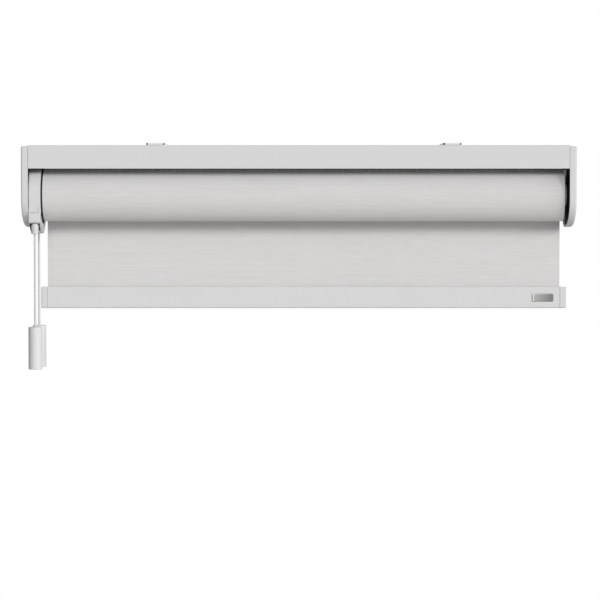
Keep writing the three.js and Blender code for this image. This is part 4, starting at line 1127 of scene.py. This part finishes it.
# ---- pull cords
@dataclass
class PullCord:
    """One cord with its tassel and plug."""

    side: str
    diameter: float = 2.5 * MM
    around: int = 16
    strands: int = 4
    steps_down: int = 150
    route_steps: int = 20
    strand: float = 0.05 * MM
    lay: float = 3.2 * MM

    def build(self) -> None:
        body = f"{self.side}_pull"
        tassel = self.build_tassel(body)
        plug = self.build_plug(body)
        node = f"{self.side}_cord"
        low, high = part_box(node)
        x, y, _ = middle(node)
        steps = self.route_steps
        route = [(x, y, high.z + (low.z - high.z) * i / steps) for i in range(steps + 1)]
        cord = settle(self.build_cord(route), "", CORD, node)
        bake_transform(cord)

    def build_cord(self, route: list[Triple]) -> Piece:
        """A round tube down the route, its surface raised where the braid's strands run."""
        top, bottom = Vector(route[0]), Vector(route[-1])
        length = (bottom - top).length
        around = self.around
        points = []
        for row in range(self.steps_down + 1):
            z = top.z + (bottom.z - top.z) * row / self.steps_down
            twist = math.tau / self.lay * z
            for i in range(around):
                angle = math.tau * i / around
                across = self.strands * angle
                relief = math.cos(across + twist) * math.cos(across - twist)
                radius = self.diameter / 2 - self.strand + self.strand * relief
                points.append((top.x + radius * math.cos(angle), top.y + radius * math.sin(angle), z))
        faces = []
        for start in range(0, self.steps_down * around, around):
            for i in range(around):
                j = (i + 1) % around
                faces.append((start + i, start + around + i, start + around + j, start + j))
        faces.append(tuple(range(around)))
        faces.append(tuple(self.steps_down * around + i for i in reversed(range(around))))
        cord = new_piece(f"{self.side}_pull_cord", points, faces)
        mesh = cord.data
        uv = mesh.uv_layers[0]
        for polygon in mesh.polygons:
            wrap = {0, around - 1} <= {mesh.loops[k].vertex_index % around for k in polygon.loop_indices}
            for k in polygon.loop_indices:
                row, i = divmod(mesh.loops[k].vertex_index, around)
                turn = around if wrap and i == 0 else i
                uv.data[k].uv = (math.pi * self.diameter * turn / around, length * row / self.steps_down)
        shade_soft(cord, 60)
        return cord

    def build_tassel(self, body: str) -> Piece:
        """A plain barrel with eased rims, a countersunk top hole and a wide lower bore."""
        node = f"{self.side}_tassel"
        low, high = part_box(node)
        radius, height = (high.x - low.x) / 2, high.z - low.z
        ease, hole, bore, top = 0.7 * MM, 1.7 * MM, 4.6 * MM, 6 * MM
        profile = [(hole + 0.7 * MM, 0.0), (hole, -0.8 * MM), (hole, -top), (bore, -top - 0.4 * MM)]
        profile += [(bore, 0.5 * MM - height), (bore + 0.5 * MM, -height)]
        profile += arc((radius - ease, ease - height), ease, -0.5 * math.pi, 6)
        profile += arc((radius - ease, -ease), ease, 0, 6)
        centre = Vector((*middle(node).xy, high.z))
        return settle(spun(f"{self.side}_tassel_barrel", profile, centre, "Z", 64), body, TASSEL_ABS, node)

    def build_plug(self, body: str) -> Piece:
        """The push-in plug that closes the tassel, with a shallow dish underneath."""
        node = f"{self.side}_tassel_plug"
        low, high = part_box(node)
        radius, height = (high.x - low.x) / 2, high.z - low.z
        profile = [(0.0, height), (radius - 0.4 * MM, height), (radius, height - 0.4 * MM)]
        profile += [(radius, 0.3 * MM), (radius - 0.3 * MM, 0.0), (radius - 0.9 * MM, 0.0)]
        profile += [(radius - 1.2 * MM, 0.5 * MM), (0.0, 0.5 * MM)]
        centre = Vector((*middle(node).xy, low.z))
        return settle(spun(f"{self.side}_tassel_end", profile, centre, "Z"), body, TASSEL_ABS, node)


# ---- inner works
def dress_inner_works() -> None:
    """Gives every CAD node that still shows the finish of its slot, but paints the side plates near-black as
    painted shade.
    """
    finishes = {finish.slot: finish for finish in SLOT_FINISHES}
    slots = {part["node"]: part["material_slot"] for part in frame["record"]["subparts"]}
    # Painted shade: the side plates get the near-black finish in place of their zinc slot's finish.
    shade_plates = {f"{side}_side_plate": SHADE_BLACK_ZINC for side in SIDES}
    for name, node in frame["nodes"].items():
        if not node.hide_render:
            paint(node, shade_plates.get(name, finishes[slots[name]]))


def main() -> None:
    """Builds the blind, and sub-assembly by sub-assembly."""
    logging.basicConfig(level=logging.INFO, format="%(name)s %(message)s")
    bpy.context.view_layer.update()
    Studio().build()
    for side in ("front", "rear"):
        PullCord(side).build()
    Headrail().build()
    for side in SIDES:
        EndCap(side).build()
    Clutch().build()
    WoundRoll().build()
    HangingCloth().build()
    RollerEnds().build()
    BottomBar().build()
    dress_inner_works()
    LOG.info("sizes written")


if __name__ == "__main__":
    main()
